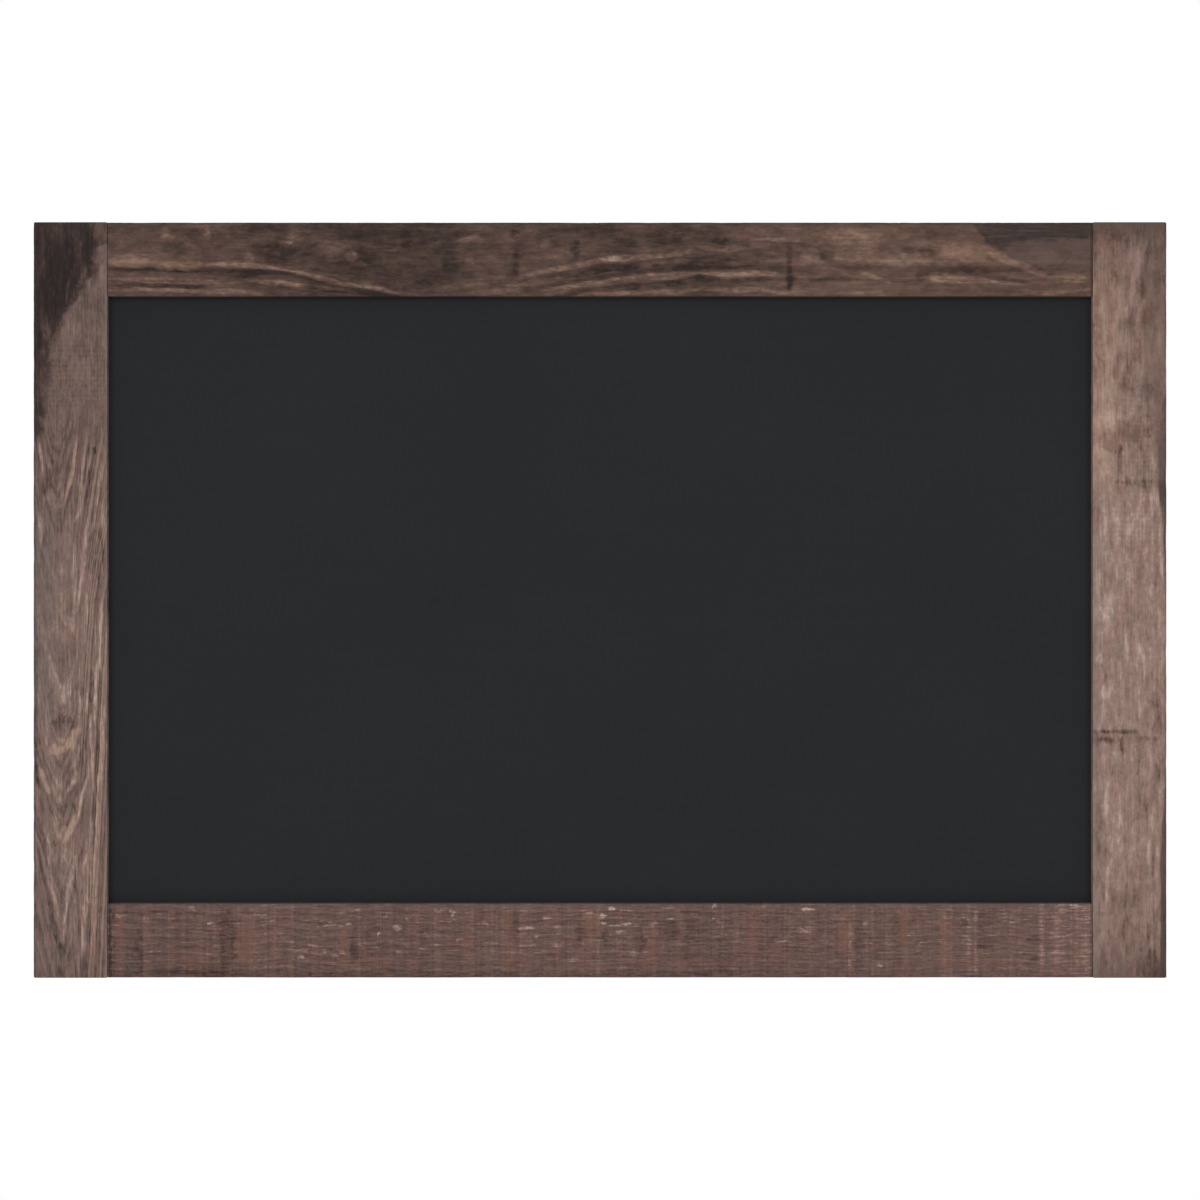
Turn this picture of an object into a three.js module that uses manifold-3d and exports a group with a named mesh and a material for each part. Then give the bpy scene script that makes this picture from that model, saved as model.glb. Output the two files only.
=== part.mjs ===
import * as THREE from 'three';
import { mergeVertices } from 'three/addons/utils/BufferGeometryUtils.js';
import Module from 'manifold-3d';

// A wood-framed magnetic chalkboard for a wall, in millimetres.
// +Z is up and the writing face looks along -Y. The origin lies on the wall plane, midway between
// the two wall hooks that carry the board, at the height where they meet the hanger rings.

// Overall size of the board
const boardWidth = 914.4;
const boardHeight = 609.6;

// Frame members: two full-height stiles with two rails butted between them
const memberWidth = 60;
const memberThickness = 19;
const outerEase = 2;
const innerEase = 0.8;
const backChamfer = 1;
const jointGap = 0.2;

// Rebate routed round the back of the opening after the frame is glued up
const lipThickness = 8;
const rebateWidth = 9.5;
const cutterRadius = 17.5;

// Panel: a coated steel writing sheet laminated to a hardboard backer
const sheetThickness = 0.5;
const backerThickness = 4;
const panelClearance = 1;
const seatGap = 0.2;
const glueLine = 0.1;

// Fluted dowels in the butt joints
const dowelDiameter = 8;
const dowelLength = 40;
const dowelChamfer = 0.8;
const dowelFlutes = 12;
const fluteDepth = 0.3;
const dowelSlack = 0.2;
const dowelEndRoom = 1.5;
const dowelFromEdge = 16;
const dowelSpacing = 20;

// Steel framer's points that hold the panel in its rebate
const pointLength = 17;
const pointWidth = 6;
const pointThickness = 0.6;
const pointBite = 6;
const pointSlack = 0.2;
const pointsPerRail = 4;
const pointsPerStile = 3;

// D-ring hangers: a folded strap, a wire ring and one screw each
const strapThickness = 0.8;
const strapWidth = 10;
const leafGap = 0.1;
const foldRadius = 0.8;
const ringWire = 2;
const ringPlay = 0.2;
const ringWidth = 17;
const ringCornerRadius = 2;
const ringButtGap = 0.3;
const ringLean = 4;
const screwFromAxis = 17;
const hangerFromEdge = 20;
const hangerFromEnd = 120;

// Pan-head screws
const screwShank = 3;
const screwHead = 7;
const screwHeadHeight = 2.2;
const screwLength = 14;
const screwTip = 4;
const screwSlack = 0.2;
const strapHoleSlack = 0.3;
const recessWidth = 3.6;
const recessSlot = 0.9;
const recessDepth = 1.4;

// Rubber bumpers, which keep the board off the wall
const bumperDiameter = 12;
const bumperHeight = 5;
const bumperRound = 1.5;
const bumperInset = 20;

// Steps in round forms
const ringSteps = 56;
const ringSides = 8;
const roundSides = 20;
const cornerSteps = 8;

// Values that follow from the driving sizes
const wallPlane = 0;
const backFace = wallPlane - bumperHeight - glueLine;
const frontFace = backFace - memberThickness;
const lipBack = frontFace + lipThickness;
const openingWidth = boardWidth - 2 * memberWidth;
const openingHeight = boardHeight - 2 * memberWidth;
const railLength = openingWidth - 2 * jointGap;
const rebateReach = rebateWidth - panelClearance;
const sheetFront = lipBack + seatGap;
const sheetBack = sheetFront + sheetThickness;
const backerFront = sheetBack + glueLine;
const backerBack = backerFront + backerThickness;
const pointFront = backerBack + seatGap;
const pointBack = pointFront + pointThickness;
const wireRadius = ringWire / 2;
const loopInside = wireRadius + ringPlay;
const loopOutside = loopInside + strapThickness;
const loopMiddle = loopInside + strapThickness / 2;
const leafTop = -loopOutside + 2 * strapThickness + leafGap;
const hingeDepth = backFace + seatGap + loopOutside;
const ringHalfWidth = (ringWidth - ringWire) / 2;
const ringReach = ringCornerRadius + ringHalfWidth;
const leanAngle = THREE.MathUtils.degToRad(ringLean);
const hookAboveAxis = (ringReach - wireRadius) * Math.cos(leanAngle);
const hookHeight = boardHeight / 2 - hangerFromEdge + hookAboveAxis;

// Each side of the board has its own frame: the outer edge towards -X, the member's length along Z
const sides = {
  left: { turn: 0, reach: boardWidth / 2, opening: openingHeight, across: openingWidth },
  top: { turn: Math.PI / 2, reach: boardHeight / 2, opening: openingWidth, across: openingHeight },
  right: { turn: Math.PI, reach: boardWidth / 2, opening: openingHeight, across: openingWidth },
  bottom: { turn: -Math.PI / 2, reach: boardHeight / 2, opening: openingWidth, across: openingHeight },
};

const wasm = await Module();
wasm.setup();

// Finishes
function wood(color) {
  return new THREE.MeshStandardMaterial({ color, roughness: 0.8, metalness: 0 });
}

function metal(color, roughness) {
  return new THREE.MeshStandardMaterial({ color, roughness, metalness: 1 });
}

function matt(color, roughness) {
  return new THREE.MeshStandardMaterial({ color, roughness, metalness: 0 });
}

const finishes = {
  leftStile: wood(0x6f5c55),
  topRail: wood(0x57453f),
  rightStile: wood(0x897167),
  bottomRail: wood(0x69524c),
  chalkCoat: matt(0x2a2b2d, 0.85),
  hardboard: matt(0x6b4a30, 0.9),
  beech: wood(0xc9a77c),
  zincPoint: metal(0xa9acae, 0.45),
  nickelStrap: metal(0xb4b2ac, 0.35),
  nickelWire: metal(0xbdbbb5, 0.28),
  steelScrew: metal(0x9c9c9a, 0.4),
  rubber: matt(0x1d1d1e, 0.75),
};

// Solids from geometry and back, for cuts and joins
function toSolid(geometry) {
  const bare = geometry.index ? geometry.toNonIndexed() : geometry.clone();
  bare.deleteAttribute('normal');
  bare.deleteAttribute('uv');
  const merged = mergeVertices(bare, 1e-4);
  const faces = [];
  for (let i = 0; i < merged.index.count; i += 3) {
    const corners = [0, 1, 2].map((k) => merged.index.getX(i + k));
    if (new Set(corners).size === 3) faces.push(...corners);
  }
  const vertProperties = merged.attributes.position.array;
  return new wasm.Manifold(new wasm.Mesh({ numProp: 3, vertProperties, triVerts: new Uint32Array(faces) }));
}

function toGeometry(solid) {
  const mesh = solid.getMesh();
  const geometry = new THREE.BufferGeometry();
  geometry.setAttribute('position', new THREE.BufferAttribute(mesh.vertProperties, 3));
  geometry.setIndex(new THREE.BufferAttribute(mesh.triVerts, 1));
  geometry.computeVertexNormals();
  return geometry;
}

function cut(geometry, cutters) {
  return toGeometry(cutters.reduce((solid, cutter) => solid.subtract(toSolid(cutter)), toSolid(geometry)));
}

function common(first, second) {
  return toGeometry(toSolid(first).intersect(toSolid(second)));
}

// A plate with its outline in X and Z, lying between two depths along Y
function plate(outline, near, far, curveSegments = cornerSteps) {
  return new THREE.ExtrudeGeometry(outline, { depth: far - near, bevelEnabled: false, curveSegments })
    .rotateX(Math.PI / 2)
    .translate(0, far, 0);
}

function rectangle(x0, x1, z0, z1) {
  return new THREE.Shape([[x0, z0], [x1, z0], [x1, z1], [x0, z1]].map(([x, z]) => new THREE.Vector2(x, z)));
}

function roundedRectangle(width, height, radius) {
  const x = width / 2 - radius;
  const z = height / 2 - radius;
  const shape = new THREE.Shape();
  shape.absarc(x, z, radius, 0, Math.PI / 2);
  shape.absarc(-x, z, radius, Math.PI / 2, Math.PI);
  shape.absarc(-x, -z, radius, Math.PI, 1.5 * Math.PI);
  shape.absarc(x, -z, radius, 1.5 * Math.PI, 2 * Math.PI);
  return shape;
}

// A round cutter whose flats lie no closer to its axis than the given radius
function roundCutter(radius, length) {
  return new THREE.CylinderGeometry(radius, radius, length, roundSides)
    .scale(1 / Math.cos(Math.PI / roundSides), 1, 1 / Math.cos(Math.PI / roundSides));
}

// Frame members
function memberSection() {
  const section = new THREE.Shape();
  const back = memberThickness;
  section.moveTo(0, back - backChamfer);
  section.lineTo(0, outerEase);
  section.absarc(outerEase, outerEase, outerEase, Math.PI, 1.5 * Math.PI);
  section.absarc(memberWidth - innerEase, innerEase, innerEase, -Math.PI / 2, 0);
  section.lineTo(memberWidth, back);
  section.lineTo(backChamfer, back);
  return section;
}

function stileLengthSection() {
  const half = boardHeight / 2;
  const section = new THREE.Shape();
  section.moveTo(-half + backChamfer, memberThickness);
  section.lineTo(-half, memberThickness - backChamfer);
  section.absarc(-half + outerEase, outerEase, outerEase, Math.PI, 1.5 * Math.PI);
  section.absarc(half - outerEase, outerEase, outerEase, -Math.PI / 2, 0);
  section.lineTo(half, memberThickness - backChamfer);
  section.lineTo(half - backChamfer, memberThickness);
  return section;
}

function bar(section, depth) {
  return new THREE.ExtrudeGeometry(section, { depth, bevelEnabled: false, curveSegments: 4 });
}

function railBar() {
  return bar(memberSection(), railLength).translate(0, 0, -railLength / 2);
}

function stileBar() {
  const long = bar(memberSection(), boardHeight).translate(0, 0, -boardHeight / 2);
  const across = bar(stileLengthSection(), memberWidth).rotateY(-Math.PI / 2).translate(memberWidth, 0, 0);
  return common(long, across);
}

function rebateCutter(side) {
  const across = side.across + 2 * rebateWidth;
  const along = side.opening + 2 * rebateWidth;
  return plate(roundedRectangle(across, along, cutterRadius), lipBack, backFace + 1);
}

// Distances of a joint's two dowels from the outer edge of the rail
const dowelPlaces = { outer: dowelFromEdge, inner: dowelFromEdge + dowelSpacing };
const dowelDepth = backFace - memberThickness / 2;
const dowelHoleRadius = dowelDiameter / 2 + dowelSlack;
const dowelHoleDepth = dowelLength / 2 + dowelEndRoom;

function railDowelHoles(side) {
  return Object.values(dowelPlaces).flatMap((fromEdge) => [-1, 1].map((end) =>
    roundCutter(dowelHoleRadius, 2 * dowelHoleDepth)
      .rotateX(Math.PI / 2)
      .translate(-side.reach + fromEdge, dowelDepth, end * openingWidth / 2)));
}

function stileDowelHoles(side) {
  return Object.values(dowelPlaces).flatMap((fromEdge) => [-1, 1].map((end) =>
    roundCutter(dowelHoleRadius, 2 * dowelHoleDepth)
      .rotateZ(Math.PI / 2)
      .translate(-side.reach + memberWidth, dowelDepth, end * (boardHeight / 2 - fromEdge))));
}

// Places along a side where framer's points are driven, in the straight part of the rebate
function pointPlaces(side, count) {
  const straight = side.opening + 2 * rebateWidth - 2 * cutterRadius;
  return Array.from({ length: count }, (_, i) => ((i + 0.5) / count - 0.5) * straight);
}

function pointSlots(side, places) {
  const wall = -side.across / 2 - rebateWidth;
  const tip = wall - pointBite - pointSlack;
  const half = pointWidth / 2 + pointSlack;
  return places.map((z) =>
    plate(rectangle(tip, wall + 1, z - half, z + half), pointFront - pointSlack, pointBack + pointSlack));
}

function screwPilots(side, places) {
  const depth = screwLength + screwSlack;
  return places.map((z) =>
    roundCutter(screwShank / 2 + screwSlack, 2 * depth)
      .translate(-side.reach + hangerFromEdge + screwFromAxis, backFace, z));
}

function frameMember(side, blank, dowelHoles, points, hangers) {
  const placed = blank.translate(-side.reach, frontFace, 0);
  return cut(placed, [rebateCutter(side), ...dowelHoles(side), ...pointSlots(side, points),
    ...screwPilots(side, hangers)]);
}

// A grooved dowel with chamfered ends, along Z
function dowelBody() {
  const points = [];
  for (let i = 0; i < 2 * dowelFlutes; i++) {
    const angle = i * Math.PI / dowelFlutes;
    const radius = dowelDiameter / 2 - (i % 2) * fluteDepth;
    points.push(new THREE.Vector2(radius * Math.cos(angle), radius * Math.sin(angle)));
  }
  const depth = dowelLength - 2 * dowelChamfer;
  const chamfer = { bevelThickness: dowelChamfer, bevelSize: dowelChamfer, bevelOffset: -dowelChamfer };
  return new THREE.ExtrudeGeometry(new THREE.Shape(points), { depth, bevelSegments: 1, ...chamfer })
    .translate(0, 0, -depth / 2);
}

// A flat steel point: sharp end in the rebate wall, rounded end over the backer
function pointBody(side) {
  const wall = -side.across / 2 - rebateWidth;
  const half = pointWidth / 2;
  const tip = wall - pointBite;
  const end = tip + pointLength;
  const outline = new THREE.Shape();
  outline.moveTo(tip, 0);
  outline.lineTo(tip + half, -half);
  outline.absarc(end - half, 0, half, -Math.PI / 2, Math.PI / 2);
  outline.lineTo(tip + half, half);
  return plate(outline, pointFront, pointBack);
}

// The strap in its own frame: hinge axis along Z at the origin, wood towards -Y, leaves towards +X
function strapSection() {
  const bendMiddle = foldRadius + strapThickness / 2;
  const leafMiddle = leafTop - strapThickness / 2;
  const bendHeight = leafMiddle + bendMiddle;
  const bendPlace = Math.sqrt((loopMiddle + bendMiddle) ** 2 - bendHeight ** 2);
  const meet = Math.atan2(bendHeight, bendPlace);
  const end = screwFromAxis + strapWidth / 2;
  const down = 1.5 * Math.PI;
  const section = new THREE.Shape();
  section.moveTo(end, -loopOutside);
  section.lineTo(0, -loopOutside);
  section.absarc(0, 0, loopOutside, down, meet, true);
  section.absarc(bendPlace, bendHeight, foldRadius, meet + Math.PI, down);
  section.lineTo(end, leafTop);
  section.lineTo(end, leafTop - strapThickness);
  section.absarc(bendPlace, bendHeight, foldRadius + strapThickness, down, meet + Math.PI, true);
  section.absarc(0, 0, loopInside, meet, down);
  section.lineTo(end, -loopInside);
  return section;
}

function strapBody() {
  const folded = new THREE.ExtrudeGeometry(strapSection(),
    { depth: strapWidth, bevelEnabled: false, curveSegments: 12 }).translate(0, 0, -strapWidth / 2);
  const half = strapWidth / 2;
  const plan = new THREE.Shape();
  plan.moveTo(-loopOutside - 1, half);
  plan.lineTo(-loopOutside - 1, -half);
  plan.absarc(screwFromAxis, 0, half, -Math.PI / 2, Math.PI / 2);
  const blank = common(folded, plate(plan, -loopOutside - 1, loopOutside + 1));
  const hole = roundCutter(screwShank / 2 + strapHoleSlack, 4 * loopOutside).translate(screwFromAxis, 0, 0);
  return cut(blank, [hole]);
}

// Centreline of the wire ring: a straight bar on the hinge axis, two tight corners and a half circle
class RingLine extends THREE.Curve {
  getPoint(t) {
    const bar = ringHalfWidth - ringCornerRadius - ringButtGap / 2;
    const corner = ringCornerRadius * Math.PI / 2;
    const bow = ringHalfWidth * Math.PI;
    const half = bar + corner + bow / 2;
    const side = t < 0.5 ? 1 : -1;
    const run = half - Math.abs(2 * t - 1) * half;
    let x = 0;
    let z = ringButtGap / 2 + run;
    if (run > bar + corner) {
      const angle = (run - bar - corner) / ringHalfWidth;
      x = -ringCornerRadius - ringHalfWidth * Math.sin(angle);
      z = ringHalfWidth * Math.cos(angle);
    } else if (run > bar) {
      const angle = (run - bar) / ringCornerRadius;
      x = -ringCornerRadius * (1 - Math.cos(angle));
      z = ringHalfWidth - ringCornerRadius * (1 - Math.sin(angle));
    }
    return new THREE.Vector3(x, 0, side * z);
  }
}

function ringBody() {
  const wire = new THREE.Shape();
  wire.absarc(0, 0, wireRadius, 0, 2 * Math.PI);
  return new THREE.ExtrudeGeometry(wire,
    { steps: ringSteps, curveSegments: ringSides / 2, bevelEnabled: false, extrudePath: new RingLine() });
}

// A pan-head screw with a cross recess, its head's underside at the origin and its point towards -Y
function screwBody() {
  const shank = screwShank / 2;
  const head = screwHead / 2;
  const profile = [[0, -screwLength], [shank, -screwLength + screwTip], [shank, 0], [head - 0.3, 0],
    [head, 0.3], [head, 0.45 * screwHeadHeight], [0.86 * head, 0.8 * screwHeadHeight],
    [0.55 * head, screwHeadHeight], [0, screwHeadHeight]].map(([r, y]) => new THREE.Vector2(r, y));
  const blade = (x, z) => new THREE.BoxGeometry(x, 2 * recessDepth, z).translate(0, screwHeadHeight, 0);
  return cut(new THREE.LatheGeometry(profile, roundSides),
    [blade(recessWidth, recessSlot), blade(recessSlot, recessWidth)]);
}

function bumperBody() {
  const radius = bumperDiameter / 2;
  const profile = new THREE.Path();
  profile.moveTo(0, 0);
  profile.lineTo(radius, 0);
  profile.absarc(radius - bumperRound, bumperHeight - bumperRound, bumperRound, 0, Math.PI / 2);
  profile.lineTo(0, bumperHeight);
  return new THREE.LatheGeometry(profile.getPoints(3), roundSides);
}

// Assembly
function named(name, geometry, material) {
  const mesh = new THREE.Mesh(geometry, material);
  mesh.name = name;
  return mesh;
}

function sideGroup(side, ...members) {
  const group = new THREE.Group();
  group.rotation.y = side.turn;
  group.add(...members);
  return group;
}

function framerPoints(sideName, places) {
  const body = pointBody(sides[sideName]);
  return places.map((z, i) => {
    const mesh = named(`panel_point_${sideName}_${i + 1}`, body, finishes.zincPoint);
    mesh.position.z = z;
    return mesh;
  });
}

function railDowels(sideName) {
  const body = dowelBody();
  const side = sides[sideName];
  return Object.entries(dowelPlaces).flatMap(([row, fromEdge]) => [-1, 1].map((end) => {
    const label = end * Math.sin(side.turn) < 0 ? 'left' : 'right';
    const mesh = named(`dowel_${sideName}_${label}_${row}`, body, finishes.beech);
    mesh.position.set(-side.reach + fromEdge, dowelDepth, end * openingWidth / 2);
    return mesh;
  }));
}

// A hanger in a side's frame, its ring folded outwards and leaning back on the wood
function hanger(side, label, along) {
  const strap = named(`hanger_strap_${label}`, strapBody(), finishes.nickelStrap);
  const ring = named(`hanger_ring_${label}`, ringBody(), finishes.nickelWire);
  ring.rotation.z = leanAngle;
  const screw = named(`hanger_screw_${label}`, screwBody(), finishes.steelScrew);
  screw.position.set(screwFromAxis, leafTop + glueLine, 0);
  const group = new THREE.Group();
  group.position.set(-side.reach + hangerFromEdge, hingeDepth, along);
  group.add(strap, ring, screw);
  return group;
}

function bumper(label, x, z) {
  const mesh = named(`bumper_${label}`, bumperBody(), finishes.rubber);
  const across = boardWidth / 2 - bumperInset;
  const up = boardHeight / 2 - bumperInset;
  mesh.position.set(x * across, backFace + glueLine, z * up);
  return mesh;
}

function panel() {
  const outline = roundedRectangle(openingWidth + 2 * rebateReach, openingHeight + 2 * rebateReach,
    cutterRadius - panelClearance);
  return [
    named('writing_sheet', plate(outline, sheetFront, sheetBack), finishes.chalkCoat),
    named('backer_board', plate(outline, backerFront, backerBack), finishes.hardboard),
  ];
}

// Places of the hangers along the top rail, and along the left stile for a board hung upright
const railHangerPlace = boardWidth / 2 - hangerFromEnd;
const stileHangerPlace = boardHeight / 2 - hangerFromEnd;
const railHangers = { top_left: -railHangerPlace, top_right: railHangerPlace };
const stileHangers = { side_lower: -stileHangerPlace, side_upper: stileHangerPlace };

function member(sideName, nodeName, finish, hangers) {
  const side = sides[sideName];
  const isStile = sideName === 'left' || sideName === 'right';
  const places = pointPlaces(side, isStile ? pointsPerStile : pointsPerRail);
  const geometry = frameMember(side, isStile ? stileBar() : railBar(),
    isStile ? stileDowelHoles : railDowelHoles, places, Object.values(hangers));
  return sideGroup(side,
    named(nodeName, geometry, finish),
    ...framerPoints(sideName, places),
    ...(isStile ? [] : railDowels(sideName)),
    ...Object.entries(hangers).map(([label, along]) => hanger(side, label, along)));
}

const board = new THREE.Group();
board.position.z = -hookHeight;
board.add(
  member('left', 'left_stile', finishes.leftStile, stileHangers),
  member('top', 'top_rail', finishes.topRail, railHangers),
  member('right', 'right_stile', finishes.rightStile, {}),
  member('bottom', 'bottom_rail', finishes.bottomRail, {}),
  ...panel(),
  bumper('top_left', -1, 1),
  bumper('top_right', 1, 1),
  bumper('bottom_left', -1, -1),
  bumper('bottom_right', 1, -1),
);

const chalkboard = new THREE.Group();
chalkboard.add(board);

export default chalkboard;
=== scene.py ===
"""Looks of a framed wall chalkboard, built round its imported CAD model.

Lengths are in metres, except in the materials' patterns and in names that end in mm.
"""

import math

import bmesh
import bpy
from mathutils import Matrix, Vector


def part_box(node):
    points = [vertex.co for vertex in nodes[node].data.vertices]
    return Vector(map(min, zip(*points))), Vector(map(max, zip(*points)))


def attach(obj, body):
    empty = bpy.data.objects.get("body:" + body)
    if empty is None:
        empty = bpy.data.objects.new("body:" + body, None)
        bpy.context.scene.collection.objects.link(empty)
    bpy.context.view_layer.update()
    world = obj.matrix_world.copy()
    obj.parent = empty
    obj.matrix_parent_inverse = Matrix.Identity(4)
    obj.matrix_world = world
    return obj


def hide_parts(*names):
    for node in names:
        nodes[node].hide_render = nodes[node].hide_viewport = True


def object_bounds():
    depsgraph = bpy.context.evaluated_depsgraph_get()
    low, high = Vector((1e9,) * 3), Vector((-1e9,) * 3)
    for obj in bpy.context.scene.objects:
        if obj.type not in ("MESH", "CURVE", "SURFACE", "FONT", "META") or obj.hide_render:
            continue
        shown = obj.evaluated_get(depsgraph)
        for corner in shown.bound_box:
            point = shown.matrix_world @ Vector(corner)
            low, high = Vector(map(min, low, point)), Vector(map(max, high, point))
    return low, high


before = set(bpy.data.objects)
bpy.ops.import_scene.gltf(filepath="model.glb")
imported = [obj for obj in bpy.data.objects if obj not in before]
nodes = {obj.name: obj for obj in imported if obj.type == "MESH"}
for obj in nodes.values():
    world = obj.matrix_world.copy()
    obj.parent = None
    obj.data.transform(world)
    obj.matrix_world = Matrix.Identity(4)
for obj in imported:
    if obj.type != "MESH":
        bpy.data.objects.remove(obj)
cad_low, cad_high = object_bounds()

mm = 0.001

# Overall places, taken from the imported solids
sheet_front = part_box("writing_sheet")[0].y
stile_low, stile_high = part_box("left_stile")
board_left = cad_low.x
board_right = cad_high.x
board_bottom = cad_low.z
board_top = cad_high.z
front_face = stile_low.y
back_face = stile_high.y
board_centre = Vector(((board_left + board_right) / 2, front_face, (board_bottom + board_top) / 2))

# Where the board lies in the photograph, in its pixels from the top left corner
left_edge = 33.4
right_edge = 1165.5
top_edge = 221.3
bottom_edge = 977.9
picture_middle = ((left_edge + right_edge) / 2, (top_edge + bottom_edge) / 2)
pixel = (board_right - board_left) / (right_edge - left_edge)

# Frame members
member_width = stile_high.x - stile_low.x
member_thickness = stile_high.y - stile_low.y
outer_ease = 2.0 * mm
inner_ease = 0.8 * mm
back_ease = 0.9 * mm
rail_end_ease = 0.5 * mm
steps_across = 49
steps_deep = 15
step_along = 1.6 * mm

# Cuts in the members, and the room that they leave, as in the CAD source
cutter_radius = 17.5 * mm
panel_clearance = 1.0 * mm
seat_gap = 0.2 * mm
dowel_slack = 0.2 * mm
dowel_end_room = 1.5 * mm
point_slack = 0.2 * mm
screw_slack = 0.2 * mm
strap_hole_slack = 0.3 * mm
cut_past = 2.0 * mm

# Hangers, as in the CAD source
strap_thickness = 0.8 * mm
strap_width = 10.0 * mm
fold_radius = 0.8 * mm
leaf_gap = 0.1 * mm
wire_radius = 1.0 * mm
ring_play = 0.2 * mm
ring_half_width = 7.5 * mm
ring_corner = 2.0 * mm
ring_butt_gap = 0.3 * mm
ring_lean = math.radians(4.0)
screw_from_axis = 17.0 * mm
glue_line = 0.1 * mm
screw_head = 7.0 * mm
screw_head_height = 2.2 * mm
screw_shank = 3.0 * mm
screw_length = 14.0 * mm
screw_tip = 4.0 * mm
recess_width = 3.6 * mm
recess_slot = 0.9 * mm
recess_depth = 1.4 * mm
loop_inside = wire_radius + ring_play
loop_outside = loop_inside + strap_thickness
leaf_top = -loop_outside + 2 * strap_thickness + leaf_gap
hinge_depth = back_face + seat_gap + loop_outside

# Framer's points and bumpers, as in the CAD source
point_length = 17.0 * mm
point_width = 6.0 * mm
point_thickness = 0.6 * mm
bumper_diameter = 12.0 * mm
bumper_height = 5.0 * mm
bumper_round = 1.5 * mm

# Small roundings that the eye expects on pressed metal
strap_bevel = 0.12 * mm
point_bevel = 0.1 * mm


def srgb(red, green, blue):
    """A colour given in screen values from 0 to 255, as the shaders take it."""

    def level(value):
        part = value / 255
        return part / 12.92 if part <= 0.04045 else ((part + 0.055) / 1.055) ** 2.4

    return (level(red), level(green), level(blue), 1.0)


def full_turn(steps):
    """Angles of so many equal steps round a circle."""
    return [math.tau * i / steps for i in range(steps)]


class Term:
    """A number, vector or colour inside a node tree, which can be used in sums."""

    def __init__(self, tree, socket):
        self.tree = tree
        self.socket = socket

    def __add__(self, other):
        return self.tree.sum("ADD", self, other)

    def __radd__(self, other):
        return self.tree.sum("ADD", other, self)

    def __sub__(self, other):
        return self.tree.sum("SUBTRACT", self, other)

    def __rsub__(self, other):
        return self.tree.sum("SUBTRACT", other, self)

    def __mul__(self, other):
        return self.tree.sum("MULTIPLY", self, other)

    def __rmul__(self, other):
        return self.tree.sum("MULTIPLY", other, self)

    def __truediv__(self, other):
        return self.tree.sum("DIVIDE", self, other)

    def __abs__(self):
        return self.tree.sum("ABSOLUTE", self)

    def __lt__(self, other):
        return self.tree.sum("LESS_THAN", self, other)

    def __gt__(self, other):
        return self.tree.sum("GREATER_THAN", self, other)


class Tree:
    """Builds a shader or geometry tree from expressions."""

    def __init__(self, nodes_and_links):
        self.nodes = nodes_and_links.nodes
        self.links = nodes_and_links.links

    def node(self, kind, settings=None, sockets=None, out=0):
        """Adds a node: its type, its settings, the values or links of its sockets, the output wanted."""
        made = self.nodes.new(kind)
        for name, value in (settings or {}).items():
            if name == "stops":
                self.set_stops(made.color_ramp, value)
            else:
                setattr(made, name, value)
        for key, value in (sockets or {}).items():
            if isinstance(value, Term):
                self.links.new(value.socket, made.inputs[key])
            else:
                made.inputs[key].default_value = value
        return Term(self, made.outputs[out]) if made.outputs else None

    @staticmethod
    def set_stops(ramp, stops):
        while len(ramp.elements) < len(stops):
            ramp.elements.new(1.0)
        for element, (place, colour) in zip(ramp.elements, stops):
            element.position = place
            element.color = colour

    def sum(self, operation, *terms):
        return self.node("ShaderNodeMath", {"operation": operation}, dict(enumerate(terms)))

    def scaled(self, value, factor, addend):
        """value times factor, plus addend."""
        return self.sum("MULTIPLY_ADD", value, factor, addend)

    def smallest(self, first, second):
        return self.sum("MINIMUM", first, second)

    def largest(self, first, second):
        return self.sum("MAXIMUM", first, second)

    def root(self, value):
        return self.sum("SQRT", value)

    def sine(self, value):
        return self.sum("SINE", value)

    def sign(self, value):
        return self.sum("SIGN", value)

    def smooth(self, value, low, high, start=0.0, end=1.0):
        """Goes softly from start to end while the value goes from low to high."""
        settings = {"interpolation_type": "SMOOTHSTEP"}
        sockets = {"Value": value, "From Min": low, "From Max": high, "To Min": start, "To Max": end}
        return self.node("ShaderNodeMapRange", settings, sockets)

    def vector(self, x, y, z):
        return self.node("ShaderNodeCombineXYZ", None, {0: x, 1: y, 2: z})

    def parts(self, vector):
        split = self.node("ShaderNodeSeparateXYZ", None, {0: vector})
        outputs = split.socket.node.outputs
        return [Term(self, outputs[i]) for i in range(3)]

    def noise(self, at, detail=2.0, roughness=0.5):
        sockets = {"Vector": at, "Scale": 1.0, "Detail": detail, "Roughness": roughness}
        return self.node("ShaderNodeTexNoise", None, sockets)

    def wave_noise(self, along, detail=2.0, roughness=0.5):
        """Noise that changes along one value only."""
        sockets = {"W": along, "Scale": 1.0, "Detail": detail, "Roughness": roughness}
        return self.node("ShaderNodeTexNoise", {"noise_dimensions": "1D"}, sockets)

    def mix(self, first, second, amount, blend="MIX"):
        settings = {"data_type": "RGBA", "blend_type": blend}
        return self.node("ShaderNodeMix", settings, {0: amount, 6: first, 7: second}, out=2)

    def curve(self, value, points):
        """A line through (value, result) points, drawn with a ramp of greys."""
        least = min(result for _, result in points)
        span = max(result for _, result in points) - least
        stops = []
        for place, result in points:
            grey = (result - least) / span
            stops.append((place, (grey, grey, grey, 1.0)))
        return self.ramp(value, stops) * span + least

    def ramp(self, value, stops):
        """Colour ramp with its stops at any values, not only from 0 to 1."""
        low, high = stops[0][0], stops[-1][0]
        inside = [((place - low) / (high - low), colour) for place, colour in stops]
        scaled = self.scaled(value, 1 / (high - low), -low / (high - low))
        return self.node("ShaderNodeValToRGB", {"stops": inside}, {0: scaled})


def new_material(name):
    """A material with an empty tree, and that tree."""
    material = bpy.data.materials.new(name)
    material.use_nodes = True
    tree = Tree(material.node_tree)
    tree.nodes.clear()
    return material, tree


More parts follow.
